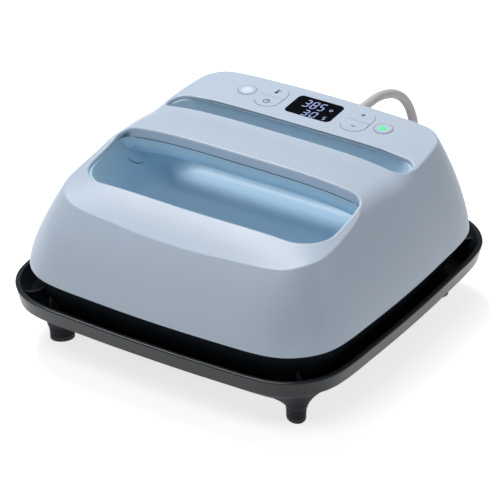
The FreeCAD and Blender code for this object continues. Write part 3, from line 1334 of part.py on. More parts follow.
def cord_tie():
    """A strap round all the turns at one place."""
    radius, thickness = size("cord_diameter") / 2 + size("coil_gap"), size("tie_thickness")
    width = size("tie_width")
    outer = radii[-1] + radius
    inner = math.sqrt((radii[0] - radius) ** 2 - (width / 2) ** 2)
    low, high = layers[0] - size("cord_diameter") / 2, layers[-1] + radius
    strap = Part.makeBox(outer - inner + 2 * thickness, width, high - low + 2 * thickness,
                         Vector(inner - thickness, -width / 2, low - thickness))
    strap = strap.cut(Part.makeBox(outer - inner, width, high - low, Vector(inner, -width / 2, low)))
    strap.Placement = FreeCAD.Placement(coil_centre(), FreeCAD.Rotation(Z_AXIS, size("tie_angle")))
    return strap


finished(shaped("cord_tie", cord_tie()))

COIL_TOP = "tie_thickness + coil_layers * cord_diameter + (coil_layers - 1) * coil_gap"


def lay_plug(item):
    """Lay a piece of the plug, drawn along X with its underside at zero, on top of the coil."""
    item.Placement = FreeCAD.Placement(Vector(), FreeCAD.Rotation(Z_AXIS, 180))
    item.setExpression("Placement.Rotation.Angle", formula("plug_turn"))
    return place(item, "plug_x", "plug_y", COIL_TOP)


plug_case = box("plug_case", "plug_length", "plug_width", "plug_height")
plug_neck = rod("plug_neck", CORD_RADIUS + " + plug_neck_wall", "relief_plug_length",
                "-plug_length / 2 - relief_plug_length", 0, "plug_height / 2", X_AXIS)
finished(lay_plug(join("plug_body", plug_case, plug_neck)))
finished(lay_plug(group("plug_blades", [
    box(f"plug_blade_{number}", "blade_length", "blade_thickness", "blade_width",
        "(plug_length + blade_length) / 2", f"{side} * blade_pitch / 2",
        "(plug_height - blade_width) / 2")
    for number, side in enumerate((-1, 1), start=1)])))


# ---------------------------------------------------------------------------
# Checks and files
# ---------------------------------------------------------------------------
doc.recompute()
faults = [item.Name for item in doc.Objects if "Invalid" in item.State or "Error" in item.State]
faults += [item.Label for item in pieces if item.Shape.isNull() or not item.Shape.isValid()]
if faults:
    raise RuntimeError("failed: " + ", ".join(faults))
os.makedirs("parts", exist_ok=True)
for item in pieces:
    item.Shape.exportStep(f"parts/{item.Label}.step")
print(len(pieces), "sub-parts written")
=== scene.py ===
import json
import math

import bpy
from mathutils import Matrix, Vector
from mathutils.bvhtree import BVHTree


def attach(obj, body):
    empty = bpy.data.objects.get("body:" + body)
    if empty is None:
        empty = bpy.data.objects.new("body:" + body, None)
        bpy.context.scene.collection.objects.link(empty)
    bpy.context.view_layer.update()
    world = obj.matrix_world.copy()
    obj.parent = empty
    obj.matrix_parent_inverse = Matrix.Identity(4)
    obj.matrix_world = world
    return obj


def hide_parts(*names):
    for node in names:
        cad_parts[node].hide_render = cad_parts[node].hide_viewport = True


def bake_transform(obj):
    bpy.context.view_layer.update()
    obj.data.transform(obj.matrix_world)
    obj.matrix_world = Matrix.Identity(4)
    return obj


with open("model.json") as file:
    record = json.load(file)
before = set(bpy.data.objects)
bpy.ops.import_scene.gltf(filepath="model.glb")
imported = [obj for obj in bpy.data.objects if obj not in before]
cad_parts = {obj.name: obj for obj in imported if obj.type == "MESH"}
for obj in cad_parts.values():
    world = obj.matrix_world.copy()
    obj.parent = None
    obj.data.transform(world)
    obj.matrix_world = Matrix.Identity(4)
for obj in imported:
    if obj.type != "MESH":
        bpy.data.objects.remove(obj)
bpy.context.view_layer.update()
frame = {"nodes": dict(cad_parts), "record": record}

MM = 0.001
UP = Vector((0, 0, 1))
WHITE = (1, 1, 1, 1)
scene = bpy.context.scene

# ---------------------------------------------------------------------------
# Camera at the photograph's viewing angle
# ---------------------------------------------------------------------------
CAMERA_EYE = Vector((1.06933, -1.68109, 1.20521))
CAMERA_TARGET = Vector((-0.00191, 0.00072, 0.05719))
CAMERA_LENS, CAMERA_SENSOR = 218.46, 36     # millimetres
CAMERA_ROLL = -0.1                          # degrees
CAMERA_REACH = 20                           # metres


def aimed(place, target):
    """The matrix of a camera or lamp at a place that faces a target."""
    turn = (target - place).to_track_quat("-Z", "Y").to_matrix().to_4x4()
    return Matrix.Translation(place) @ turn


def make_camera():
    data = bpy.data.cameras.new("camera")
    data.lens = CAMERA_LENS
    data.sensor_width = CAMERA_SENSOR
    data.clip_end = CAMERA_REACH
    camera = bpy.data.objects.new("camera", data)
    roll = Matrix.Rotation(math.radians(CAMERA_ROLL), 4, "Z")
    camera.matrix_world = aimed(CAMERA_EYE, CAMERA_TARGET) @ roll
    scene.collection.objects.link(camera)
    scene.camera = camera


make_camera()


# ---------------------------------------------------------------------------
# Materials: grain, patches and depths in metres
# ---------------------------------------------------------------------------
NOISE_LOW, NOISE_HIGH = 0.3, 0.7            # nearly all of a noise texture lies between these
CLOUD_SIZE, CLOUD_SHADES = 0.05, (0.985, 1.015)
GLOSS_PATCH = 0.03
PLASTIC_GRAIN, PLASTIC_DEPTH = 0.0006, 0.00002
BRUSH_STRETCH, BRUSH_DEPTH = (1, 30, 30), 0.00002
BRUSH_SHADES, BRUSH_SMOOTHER, BRUSH_ROUGHER = (0.93, 1.05), 0.06, 0.08
THREAD_WIDTH, THREAD_DEPTH = 0.0012, 0.0002
THREAD_SHADES, THREAD_WAVER, CLOTH_ROUGHNESS = (0.85, 1.05), 1.2, 0.9
WAVE_SCALE = 6.3                            # turns a thread's width into a wave texture's scale
LAMP_PATCH, LAMP_DIM, LAMP_ROUGHNESS = 0.004, 0.85, 0.4
LIT_MIDDLE = 0.002                          # radius round a key's middle that is lit in full


class Shader:
    """A principled material whose colour, roughness and bump come from noise at stated scales."""

    def __init__(self, name, colour, roughness, metallic=0.0, coat=0.0, coat_roughness=0.1, specular=0.5):
        self.material = bpy.data.materials.new(name)
        self.material.use_nodes = True
        self.nodes = self.material.node_tree.nodes
        self.links = self.material.node_tree.links
        self.surface = self.nodes["Principled BSDF"]
        self.colour = (*colour, 1)
        self.place = self.nodes.new("ShaderNodeTexCoord").outputs["Object"]
        self.set("Base Color", self.colour)
        self.set("Roughness", roughness)
        self.set("Metallic", metallic)
        self.set("Coat Weight", coat)
        self.set("Coat Roughness", coat_roughness)
        self.set("Specular IOR Level", specular)

    def set(self, socket, value):
        self.surface.inputs[socket].default_value = value

    def noise(self, size, detail=3.0, stretch=(1, 1, 1)):
        """Noise whose features are about size metres across."""
        mapping = self.nodes.new("ShaderNodeMapping")
        mapping.inputs["Scale"].default_value = stretch
        self.links.new(self.place, mapping.inputs["Vector"])
        texture = self.nodes.new("ShaderNodeTexNoise")
        texture.inputs["Scale"].default_value = 1 / size
        texture.inputs["Detail"].default_value = detail
        self.links.new(mapping.outputs["Vector"], texture.inputs["Vector"])
        return texture.outputs["Fac"]

    def ramp(self, value, low, high, low_out, high_out):
        node = self.nodes.new("ShaderNodeMapRange")
        limits = {"From Min": low, "From Max": high, "To Min": low_out, "To Max": high_out}
        for socket, number in limits.items():
            node.inputs[socket].default_value = number
        self.links.new(value, node.inputs["Value"])
        return node.outputs["Result"]

    def tint(self, value, darker, lighter):
        """Colour between two shades of the base colour."""
        mix = self.nodes.new("ShaderNodeMix")
        mix.data_type = "RGBA"
        mix.inputs["A"].default_value = (*[channel * darker for channel in self.colour[:3]], 1)
        mix.inputs["B"].default_value = (*[min(channel * lighter, 1) for channel in self.colour[:3]], 1)
        self.links.new(value, mix.inputs["Factor"])
        self.links.new(mix.outputs["Result"], self.surface.inputs["Base Color"])

    def rough(self, value, smooth, coarse):
        gloss = self.ramp(value, NOISE_LOW, NOISE_HIGH, smooth, coarse)
        self.links.new(gloss, self.surface.inputs["Roughness"])

    def bump(self, value, height):
        node = self.nodes.new("ShaderNodeBump")
        node.inputs["Distance"].default_value = height
        node.inputs["Strength"].default_value = 1.0
        self.links.new(value, node.inputs["Height"])
        self.links.new(node.outputs["Normal"], self.surface.inputs["Normal"])

    def glow(self, colour, strength):
        """Light of a colour, its strength driven by a value."""
        self.set("Emission Color", (*colour, 1))
        self.links.new(strength, self.surface.inputs["Emission Strength"])


def moulded(name, colour, roughness, spread=0.04, grain=PLASTIC_GRAIN, height=PLASTIC_DEPTH, **gloss):
    """Moulded plastic: fine texture from the tool, faint clouding of the colour, uneven gloss."""
    shader = Shader(name, colour, roughness, **gloss)
    shader.tint(shader.noise(CLOUD_SIZE, detail=2), *CLOUD_SHADES)
    shader.rough(shader.noise(GLOSS_PATCH), roughness - spread / 2, roughness + spread / 2)
    shader.bump(shader.noise(grain, detail=2), height)
    return shader.material


def brushed(name, colour, roughness, size=0.02):
    """Metal with fine parallel brushing."""
    shader = Shader(name, colour, roughness, metallic=1.0)
    lines = shader.noise(size, detail=4, stretch=BRUSH_STRETCH)
    shader.tint(lines, *BRUSH_SHADES)
    shader.rough(lines, roughness - BRUSH_SMOOTHER, roughness + BRUSH_ROUGHER)
    shader.bump(lines, BRUSH_DEPTH)
    return shader.material


def woven(name, colour):
    """Coarse cloth such as fibre blanket or strap."""
    shader = Shader(name, colour, CLOTH_ROUGHNESS)
    across = shader.nodes.new("ShaderNodeTexWave")
    across.inputs["Scale"].default_value = 1 / (THREAD_WIDTH * WAVE_SCALE)
    across.inputs["Distortion"].default_value = THREAD_WAVER
    shader.links.new(shader.place, across.inputs["Vector"])
    shader.tint(across.outputs["Fac"], *THREAD_SHADES)
    shader.bump(across.outputs["Fac"], THREAD_DEPTH)
    return shader.material


def lit(name, colour, strength):
    """A lit figure or symbol, a little uneven."""
    shader = Shader(name, colour, LAMP_ROUGHNESS)
    uneven = shader.noise(LAMP_PATCH)
    shader.glow(colour, shader.ramp(uneven, NOISE_LOW, NOISE_HIGH, strength * LAMP_DIM, strength))
    return shader.material


SHELL_BLUE = (0.545, 0.645, 0.775)
PAINT_GLOSS = {"coat": 0.06, "coat_roughness": 0.25}
materials = {
    "shell_paint": moulded("shell_paint", SHELL_BLUE, 0.42, **PAINT_GLOSS),
    "key_paint": moulded("key_paint", SHELL_BLUE, 0.40, **PAINT_GLOSS),
    "recess_blue": moulded("recess_blue", (0.49, 0.69, 0.84), 0.46, coat=0.3, coat_roughness=0.42),
    "housing_dark": moulded("housing_dark", (0.012, 0.017, 0.024), 0.35),
    "plate_coating": moulded("plate_coating", (0.03, 0.03, 0.032), 0.5, grain=0.0004, height=0.00004),
    "element_steel": brushed("element_steel", (0.42, 0.41, 0.38), 0.42),
    "sheet_steel": brushed("sheet_steel", (0.62, 0.63, 0.64), 0.3),
    "insulation_white": woven("insulation_white", (0.82, 0.80, 0.75)),
    "ceramic_white": moulded("ceramic_white", (0.84, 0.82, 0.77), 0.3, coat=0.3),
    "screw_steel": brushed("screw_steel", (0.55, 0.55, 0.56), 0.3, size=0.004),
    "sensor_brass": brushed("sensor_brass", (0.62, 0.44, 0.18), 0.3, size=0.006),
    "lead_red": moulded("lead_red", (0.50, 0.05, 0.04), 0.5),
    "lead_white": moulded("lead_white", (0.75, 0.74, 0.70), 0.6),
    "window_black": moulded("window_black", (0.003, 0.0035, 0.005), 0.12, spread=0.02, height=0.000001,
                            specular=0.04),
    "display_grey": moulded("display_grey", (0.06, 0.065, 0.07), 0.5),
    "backlight_white": moulded("backlight_white", (0.85, 0.87, 0.9), 0.5),
    "switch_black": moulded("switch_black", (0.02, 0.02, 0.02), 0.5),
    "led_clear": moulded("led_clear", (0.8, 0.85, 0.88), 0.2),
    "board_green": moulded("board_green", (0.02, 0.14, 0.06), 0.35, grain=0.002, height=0.00005),
    "component_black": moulded("component_black", (0.02, 0.02, 0.022), 0.5),
    "component_blue": moulded("component_blue", (0.03, 0.09, 0.35), 0.3),
    "capacitor_sleeve": moulded("capacitor_sleeve", (0.02, 0.03, 0.10), 0.3),
    "transformer_core": brushed("transformer_core", (0.16, 0.12, 0.06), 0.5),
    "sink_aluminium": brushed("sink_aluminium", (0.66, 0.67, 0.68), 0.35),
    "start_green": moulded("start_green", (0.50, 0.74, 0.66), 0.40),
    "tray_black": moulded("tray_black", (0.011, 0.015, 0.019), 0.3, spread=0.06, height=0.000006, coat=0.12,
                          coat_roughness=0.12, specular=0.3),
    "pan_grey": moulded("pan_grey", (0.022, 0.023, 0.031), 0.65, height=0.00004, specular=0.2),
    "silicone_grey": moulded("silicone_grey", (0.10, 0.105, 0.11), 0.6),
    "foot_rubber": moulded("foot_rubber", (0.012, 0.012, 0.013), 0.6, height=0.00006),
    "cord_grey": moulded("cord_grey", (0.62, 0.59, 0.60), 0.5, height=0.00004),
    "tie_black": woven("tie_black", (0.015, 0.015, 0.015)),
    "blade_brass": brushed("blade_brass", (0.70, 0.56, 0.28), 0.25, size=0.006),
}
legend_grey = moulded("legend_grey", (0.05, 0.065, 0.085), 0.5)
power_legend = moulded("power_legend", (0.60, 0.64, 0.69), 0.4)
ring_line = moulded("ring_line", (0.33, 0.38, 0.44), 0.45)
pad_line = moulded("pad_line", (0.50, 0.60, 0.73), 0.5)
parting_shadow = moulded("parting_shadow", (0.05, 0.08, 0.11), 0.7)
slot_shadow = moulded("slot_shadow", (0.11, 0.17, 0.23), 0.6)
digit_light = lit("digit_light", (0.37, 0.44, 0.80), 0.16)
start_light = lit("start_light", (0.06, 0.70, 0.22), 0.6)


def lit_key(name, centre, outer, colour, strength):
    """A key's translucent cap with light behind the middle of it, that ends at the outer radius."""
    shader = Shader(name, SHELL_BLUE, LAMP_ROUGHNESS, **PAINT_GLOSS)
    shader.tint(shader.noise(CLOUD_SIZE, detail=2), *CLOUD_SHADES)
    shader.bump(shader.noise(PLASTIC_GRAIN, detail=2), PLASTIC_DEPTH)
    away = shader.nodes.new("ShaderNodeVectorMath")
    away.operation = "DISTANCE"
    away.inputs[1].default_value = tuple(centre)
    shader.links.new(shader.place, away.inputs[0])
    shader.glow(colour, shader.ramp(away.outputs["Value"], LIT_MIDDLE, outer, strength, 0))
    return shader.material


def finish_nodes():
    """Each CAD node takes the material of its slot in the record."""
    for subpart in frame["record"]["subparts"]:
        node = frame["nodes"][subpart["node"]]
        node.data.materials.clear()
        node.data.materials.append(materials[subpart["material_slot"]])


# ---------------------------------------------------------------------------
# Mesh helpers
# ---------------------------------------------------------------------------
EDGE_WIDTH = 0.2 * MM
SHARP_ANGLE = 35            # degrees between two faces whose edge is rounded


def add_mesh(name, vertices, faces, material, smooth=True):
    mesh = bpy.data.meshes.new(name)
    mesh.from_pydata([tuple(vertex) for vertex in vertices], [], faces)
    mesh.validate()
    mesh.update()
    mesh.materials.append(material)
    if smooth:
        mesh.shade_smooth()
    piece = bpy.data.objects.new(name, mesh)
    scene.collection.objects.link(piece)
    return piece


def carry(piece, body):
    """The piece rides on a body."""
    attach(piece, body)


def soften_edges(piece):
    bevel = piece.modifiers.new("edges", "BEVEL")
    bevel.width = EDGE_WIDTH
    bevel.segments = 2
    bevel.limit_method = "ANGLE"
    bevel.angle_limit = math.radians(SHARP_ANGLE)
    bevel.harden_normals = True


def round_turn(steps):
    """The angles of a full turn in equal steps."""
    return [2 * math.pi * step / steps for step in range(steps)]


def bezier(first, pull, last, share):
    """A point on the curve from first to last that bends towards pull."""
    return first * (1 - share) ** 2 + pull * 2 * share * (1 - share) + last * share ** 2


def tube_faces(rings, count, base=0, reverse=False):
    """Faces of a closed tube over rings of count vertices each, or the same facing the other way."""
    faces = []
    for ring in range(rings - 1):
        for step in range(count):
            a, b = base + ring * count + step, base + ring * count + (step + 1) % count
            faces.append((a, a + count, b + count, b) if reverse else (a, b, b + count, a + count))
    first = tuple(range(base, base + count))
    last = tuple(range(base + (rings - 1) * count, base + rings * count))
    return faces + ([first, last[::-1]] if reverse else [first[::-1], last])


def revolved(name, profile, matrix, material, steps=48):
    """Turn a closed profile of (radius, height) about its axis and place it by a matrix."""
    vertices = [matrix @ Vector((radius * math.cos(turn), radius * math.sin(turn), height))
                for turn in round_turn(steps) for radius, height in profile]
    count = len(profile)
    faces = []
    for step in range(steps):
        here, there = step * count, (step + 1) % steps * count
        for row in range(count):
            above = (row + 1) % count
            faces.append((here + row, there + row, there + above, here + above))
    return add_mesh(name, vertices, faces, material)


def swept_tube(name, points, radii, material, sides):
    """A closed tube along points, its radius given for each."""
    vertices = []
    side = Vector((1, 0, 0))
    for index, point in enumerate(points):
        before, after = points[max(index - 1, 0)], points[min(index + 1, len(points) - 1)]
        along = (after - before).normalized()
        side = (side - along * side.dot(along)).normalized()
        up = along.cross(side)
        for turn in round_turn(sides):
            vertices.append(point + (side * math.cos(turn) + up * math.sin(turn)) * radii[index])
    return add_mesh(name, vertices, tube_faces(len(points), sides), material)


def circle(radius, centre=(0, 0), steps=40):
    return [(centre[0] + radius * math.cos(turn), centre[1] + radius * math.sin(turn))
            for turn in round_turn(steps)]


def rounded_outline(half_x, half_y, radius, steps=10):
    points = []
    for corner, (sign_x, sign_y) in enumerate(((1, 1), (-1, 1), (-1, -1), (1, -1))):
        for step in range(steps + 1):
            turn = math.radians(90 * corner + 90 * step / steps)
            points.append((sign_x * (half_x - radius) + radius * math.cos(turn),
                           sign_y * (half_y - radius) + radius * math.sin(turn)))
    return points


def rounded_polygon(corners, radius, steps=6):
    """A counter-clockwise polygon with its corners rounded."""
    points = []
    for index, corner in enumerate(corners):
        corner = Vector(corner)
        before = (Vector(corners[index - 1]) - corner).normalized()
        after = (Vector(corners[(index + 1) % len(corners)]) - corner).normalized()
        half = before.angle(after) / 2
        middle = corner + (before + after).normalized() * radius / math.sin(half)
        first = corner + before * radius / math.tan(half) - middle
        last = corner + after * radius / math.tan(half) - middle
        sweep = first.angle_signed(last)
        for step in range(steps + 1):
            points.append(tuple(middle + Matrix.Rotation(-sweep * step / steps, 2) @ first))
    return points


def bar(start, end, width):
    """A six-sided bar with pointed ends, as the segments of a numeral have."""
    start, end = Vector(start), Vector(end)
    along = (end - start).normalized() * width / 2
    across = Vector((-along.y, along.x))
    return [tuple(point) for point in (start, start + along - across, end - along - across, end,
                                       end - along + across, start + along + across)]


def plate_mesh(name, outlines, bands, low, high, put, material):
    """Flat pieces from outlines and from bands between two outlines, laid down by put(x, y, z)."""
    vertices, faces = [], []
    for outline in outlines:
        faces += tube_faces(2, len(outline), len(vertices))
        vertices += [put(x, y, z) for z in (low, high) for x, y in outline]
    for outer, inner in bands:
        base, count = len(vertices), len(outer)
        vertices += [put(x, y, z) for outline in (outer, inner) for z in (low, high) for x, y in outline]
        for index in range(count):
            after = (index + 1) % count
            rows = [(base + row * count + index, base + row * count + after) for row in range(4)]
            (a, b), (c, d), (e, f), (g, h) = rows       # outer low and high, inner low and high
            faces += [(a, b, d, c), (c, d, h, g), (g, h, f, e), (e, f, b, a)]
    return add_mesh(name, vertices, faces, material, smooth=False)


# ---------------------------------------------------------------------------
# Control panel: numerals, legends and the outlines of the keys, in millimetres
# ---------------------------------------------------------------------------
PANEL_MIDDLE = Vector((0, 90, 139.174))
PANEL_TILT = math.atan2(3.1, 50)            # it rises 3.1 mm on its 50 mm from front to back
PANEL = Matrix.Translation(PANEL_MIDDLE) @ Matrix.Rotation(PANEL_TILT, 4, "X")
PANEL_CROWN, CROWN_REACH = 3, 110           # the top lies 3 mm lower 110 mm to the side
ROUND_KEY_X, PAD_X = 61, 38.6
PRINT = 0.06                                # thickness of printed legends

SEGMENTS = {"0": "abcdef", "3": "abcdg", "5": "acdfg", "8": "abcdefg"}
SEGMENT_ENDS = {
    "a": ((0, 1), (1, 1)), "b": ((1, 1), (1, 0.5)), "c": ((1, 0.5), (1, 0)), "d": ((0, 0), (1, 0)),
    "e": ((0, 0), (0, 0.5)), "f": ((0, 0.5), (0, 1)), "g": ((0, 0.5), (1, 0.5)),
}
SEGMENT_GAP = 0.12                          # part of the stroke left open at each end of a segment
SLANT = 0.08
DISPLAY_ROWS = (                            # figures, left end, pitch, foot, width, height, stroke
    ("385", -12, 6.8, -1.2, 5, 10.8, 1.05),
    ("30", -6, 7.2, -12.6, 5.2, 8.4, 0.95),
    ("5", 12.2, 0, -11.5, 2.8, 5, 0.75),
)
DEGREE_PLACE, DEGREE_RADII = (12.9, 3.4), (1.5, 0.85)

RING_RADII, RING_LEVELS = (7.75, 7.0), (-0.6, 0.07)
PAD_WIDTH, PAD_LENGTH, PAD_CORNER = 21.4, 31.4, 10.5
SEAL_OVERLAP, SEAL_INSET, SEAL_LEVELS = 0.02, 0.27, (-0.9, 0.18)
SPLIT_HALF_LENGTH, SPLIT_HALF_WIDTH, SPLIT_CORNER = 10.3, 0.22, 0.15


def fall(depth, x):
    """How much lower a crowned surface lies x to the side of its middle."""
    return depth * (abs(x) / CROWN_REACH) ** 4


def panel_top(node):
    """Height of a node's highest point over the panel's flat plane."""
    flat = PANEL.inverted()
    return max((flat @ (vertex.co / MM)).z for vertex in frame["nodes"][node].data.vertices)


def on_panel(offset_x, offset_y, level):
    """Lays a drawing flat on the panel's plane, shifted and raised."""
    return lambda x, y, z: PANEL @ Vector((x + offset_x, y + offset_y, z + level)) * MM


def over_panel(offset_x):
    """Lays a drawing on the panel's crowned surface, shifted to the side."""
    return lambda x, y, z: PANEL @ Vector((x + offset_x, y, z - fall(PANEL_CROWN, x + offset_x))) * MM


def numeral(figure, left, bottom, width, height, stroke):
    """Seven-segment numeral as separate bars."""
    bars = []
    for segment in SEGMENTS[figure]:
        start, end = [Vector((left + x * (width - stroke) + stroke / 2,
                              bottom + y * (height - stroke) + stroke / 2)) for x, y in SEGMENT_ENDS[segment]]
        trim = (end - start).normalized() * stroke * SEGMENT_GAP
        outline = bar(start + trim, end - trim, stroke)
        bars.append([(x + SLANT * (y - bottom), y) for x, y in outline])
    return bars


def make_numerals():
    bars = []
    for figures, left, pitch, bottom, width, height, stroke in DISPLAY_ROWS:
        for place, figure in enumerate(figures):
            bars += numeral(figure, left + pitch * place, bottom, width, height, stroke)
    degree = [circle(radius, DEGREE_PLACE, steps=20) for radius in DEGREE_RADII]
    put = on_panel(0, 0, panel_top("display_window"))
    numerals = plate_mesh("display_numerals", bars, [degree], 0, PRINT, put, digit_light)
    carry(numerals, "press")


def legend(name, key, x, y, outlines, bands=(), material=legend_grey):
    put = on_panel(x, y, panel_top(key))
    piece = plate_mesh(name, outlines, bands, 0, PRINT, put, material)
    carry(piece, key)


def arc_band(radius, width, first, last, steps=28):
    """An open ring as one outline."""
    turns = [math.radians(first + (last - first) * step / steps) for step in range(steps + 1)]
    outer, inner = [[(reach * math.cos(turn), reach * math.sin(turn)) for turn in turns]
                    for reach in (radius + width / 2, radius - width / 2)]
    return outer + inner[::-1]


def make_legends():
    thermometer = rounded_polygon([(-0.75, -1.2), (0.75, -1.2), (0.75, 3), (-0.75, 3)], 0.7)
    ticks = [bar((1.3, y), (2.5, y), 0.5) for y in (0.2, 1.3, 2.4)]
    legend("temperature_legend", "temperature_button", -PAD_X + 0.2, 8.4,
           [thermometer, circle(1.6, (0, -1.9), steps=24)] + ticks)
    hands = [bar((0, 0), (0, 1.8), 0.7), bar((0, 0), (1.4, 0.5), 0.7)]
    legend("timer_legend", "timer_button", -PAD_X + 0.3, -8.1, hands, [(circle(2.9), circle(2.15))])
    legend("increase_legend", "increase_button", PAD_X - 0.5, 9.3,
           [bar((-2, 0), (2, 0), 1), bar((0, -2), (0, 2), 1)])
    legend("decrease_legend", "decrease_button", PAD_X + 0.6, -8.2, [bar((-2.1, 0), (2.1, 0), 1)])
    legend("power_legend", "power_button", -ROUND_KEY_X, 0,
           [arc_band(1.9, 0.5, -235, 55), bar((0, 0.7), (0, 2.6), 0.55)], material=power_legend)
    triangle = rounded_polygon([(-2.6, 4.3), (-2.6, -4.3), (4.2, 0)], 1.4)
    legend("start_legend", "start_button", ROUND_KEY_X, 0, [triangle], material=start_light)


def make_key_edges():
    """Rings round the two round keys, and the seals in the gaps of the four other keys."""
    ring = [circle(radius, steps=64) for radius in RING_RADII]
    for name, side in (("power_ring", -1), ("start_ring", 1)):
        put = over_panel(side * ROUND_KEY_X)
        carry(plate_mesh(name, [], [ring], *RING_LEVELS, put, ring_line), "press")
    gap = [rounded_outline(PAD_WIDTH / 2 + grow, PAD_LENGTH / 2 + grow, PAD_CORNER + min(grow, 0))
           for grow in (SEAL_OVERLAP, -SEAL_INSET)]
    split = rounded_outline(SPLIT_HALF_LENGTH, SPLIT_HALF_WIDTH, SPLIT_CORNER, steps=3)
    for name, side in (("left_key_seal", -1), ("right_key_seal", 1)):
        put = over_panel(side * PAD_X)
        carry(plate_mesh(name, [split], [gap], *SEAL_LEVELS, put, pad_line), "press")


make_numerals()
make_legends()
make_key_edges()


# ---------------------------------------------------------------------------
# Handle and openings: dark joints, and painted shade on the panel's front edge, in millimetres
# ---------------------------------------------------------------------------
HANDLE_SIDES = (                            # piece, y of that side, top of the cap there, way out
    ("front_parting_line", -13, 146, -1),
    ("rear_parting_line", 38, 142.5, 1),
)
CAP_DEPTH, CAP_ARCH = 8, 7                  # from the cap's top to the joint, and its fall to the sides
PARTING_REACH, PARTING_STEPS = 103, 60
PARTING_SECTION = ((0.1, 0.05), (0.1, 0.65), (-0.6, 0.65), (-0.6, 0.05))      # outwards, down from the joint

SEAM_LOW = 106.4                            # height of the seam's lower end
SEAM_START, SEAM_PULL, SEAM_END = Vector((-18.5, 118.1)), Vector((-11.5, 107)), Vector((0, SEAM_LOW))
SEAM_WALL, SEAM_DRAFT = 96.8, 0.325         # x of the recess's end wall at that height, and its slope
SEAM_THIN, SEAM_SWELL = 0.08, 0.3           # radius at the ends, and what it gains in the middle
SEAM_STEPS, SEAM_SIDES = 20, 10

PANEL_EDGE_Y, PANEL_EDGE_Z, PANEL_EDGE_ROUND = 63, 137.5, 1.6
PANEL_EDGE_DROP = 1.5                       # from the edge's top to the middle of its rounding
EDGE_SHADE_REACH, EDGE_SHADE_STEPS = 95, 60
EDGE_SHADE_TAPER, EDGE_SHADE_TIP = 22, 0.05           # length of the thinning ends, and what is left at their tips
EDGE_SHADE_RADII, EDGE_SHADE_BENDS = (1.68, 1.2), 5   # outside and inside, about the middle of the rounding
EDGE_SHADE_TURN = 152                            # degrees at which the two strips meet
# painted shade: the dark strip covers the upper rounding of the panel's front edge and the recess blue covers
# its front, where the edge's highlight would show
EDGE_SHADE_STRIPS = (                            # piece, degrees that it covers from there, material
    ("panel_edge_dark_shade", -48, slot_shadow),
    ("panel_edge_blue_shade", 29, materials["recess_blue"]),
)


def across_press(reach, steps):
    """Places from the left to the right of the press, reach to each side."""
    return [-reach + 2 * reach * step / steps for step in range(steps + 1)]


def make_parting_lines():
    """The dark line under the handle's cap, along its front and its back."""
    for name, y, top, outwards in HANDLE_SIDES:
        vertices = []
        for x in across_press(PARTING_REACH, PARTING_STEPS):
            seam = top - CAP_DEPTH - fall(CAP_ARCH, x)
            for proud, lower in PARTING_SECTION:
                vertices.append(Vector((x, y + outwards * proud, seam - lower)) * MM)
        faces = tube_faces(PARTING_STEPS + 1, len(PARTING_SECTION), reverse=outwards > 0)
        carry(add_mesh(name, vertices, faces, parting_shadow, smooth=False), "press")


def make_recess_seams():
    """The short curved joint on each end wall of the front recess, below the handle's end."""
    for name, side in (("left_recess_seam", -1), ("right_recess_seam", 1)):
        points, radii = [], []
        for step in range(SEAM_STEPS + 1):
            share = step / SEAM_STEPS
            y, z = bezier(SEAM_START, SEAM_PULL, SEAM_END, share)
            points.append(Vector((side * (SEAM_WALL + SEAM_DRAFT * (z - SEAM_LOW)), y, z)) * MM)
            radii.append((SEAM_THIN + SEAM_SWELL * math.sin(math.pi * share)) * MM)
        carry(swept_tube(name, points, radii, parting_shadow, SEAM_SIDES), "press")


def make_panel_edge_shade():
    """Painted shade on the rounded front edge of the control panel: a dark strip over its upper rounding where
    the edge's highlight would show, and the recess colour painted below it.
    """
    y = PANEL_EDGE_Y + PANEL_EDGE_ROUND
    outside, inside = EDGE_SHADE_RADII
    section = [(outside, bend) for bend in range(EDGE_SHADE_BENDS + 1)]
    section += [(inside, bend) for bend in reversed(range(EDGE_SHADE_BENDS + 1))]
    for name, spread, material in EDGE_SHADE_STRIPS:
        vertices = []
        for x in across_press(EDGE_SHADE_REACH, EDGE_SHADE_STEPS):
            z = PANEL_EDGE_Z - fall(PANEL_CROWN, x) - PANEL_EDGE_DROP
            width = spread * min((EDGE_SHADE_REACH - abs(x)) / EDGE_SHADE_TAPER + EDGE_SHADE_TIP, 1)
            for radius, bend in section:
                turn = math.radians(EDGE_SHADE_TURN + width * bend / EDGE_SHADE_BENDS)
                vertices.append(Vector((x, y + radius * math.cos(turn), z + radius * math.sin(turn))) * MM)
        faces = tube_faces(EDGE_SHADE_STEPS + 1, len(section), reverse=spread < 0)
        carry(add_mesh(name, vertices, faces, material, smooth=False), "press")


make_parting_lines()
make_recess_seams()
make_panel_edge_shade()


# ---------------------------------------------------------------------------
# Strain relief, legs and plug, in millimetres
# ---------------------------------------------------------------------------
RELIEF_PLACE = Matrix.Translation(Vector((0, 0, 107.8 * MM)))
RELIEF_AXIS = RELIEF_PLACE @ Matrix.Rotation(math.radians(-90), 4, "X")
RELIEF_BORE = 3.85
RELIEF_COLLAR = [                           # radius and place along the cord, from inside the wall outwards
    (RELIEF_BORE, 117.5), (11, 117.5), (11, 120.4), (8.3, 120.5), (8.3, 133.5), (9.5, 133.5), (10, 134),
    (10, 135.4), (9.4, 136), (8, 136.1),
]
RELIEF_END, RELIEF_END_BEVEL = 158, 0.4
RIBS = 6
RIB_SECTION = ((0, 0), (0.5, 0), (0.58, 0.9), (0.92, 0.9))      # share of the pitch, depth below the taper
TAPER_ROOT, TAPER_TIP = 8, 5.2              # radii
TAPER_START, TAPER_END = 137.2, 156.5

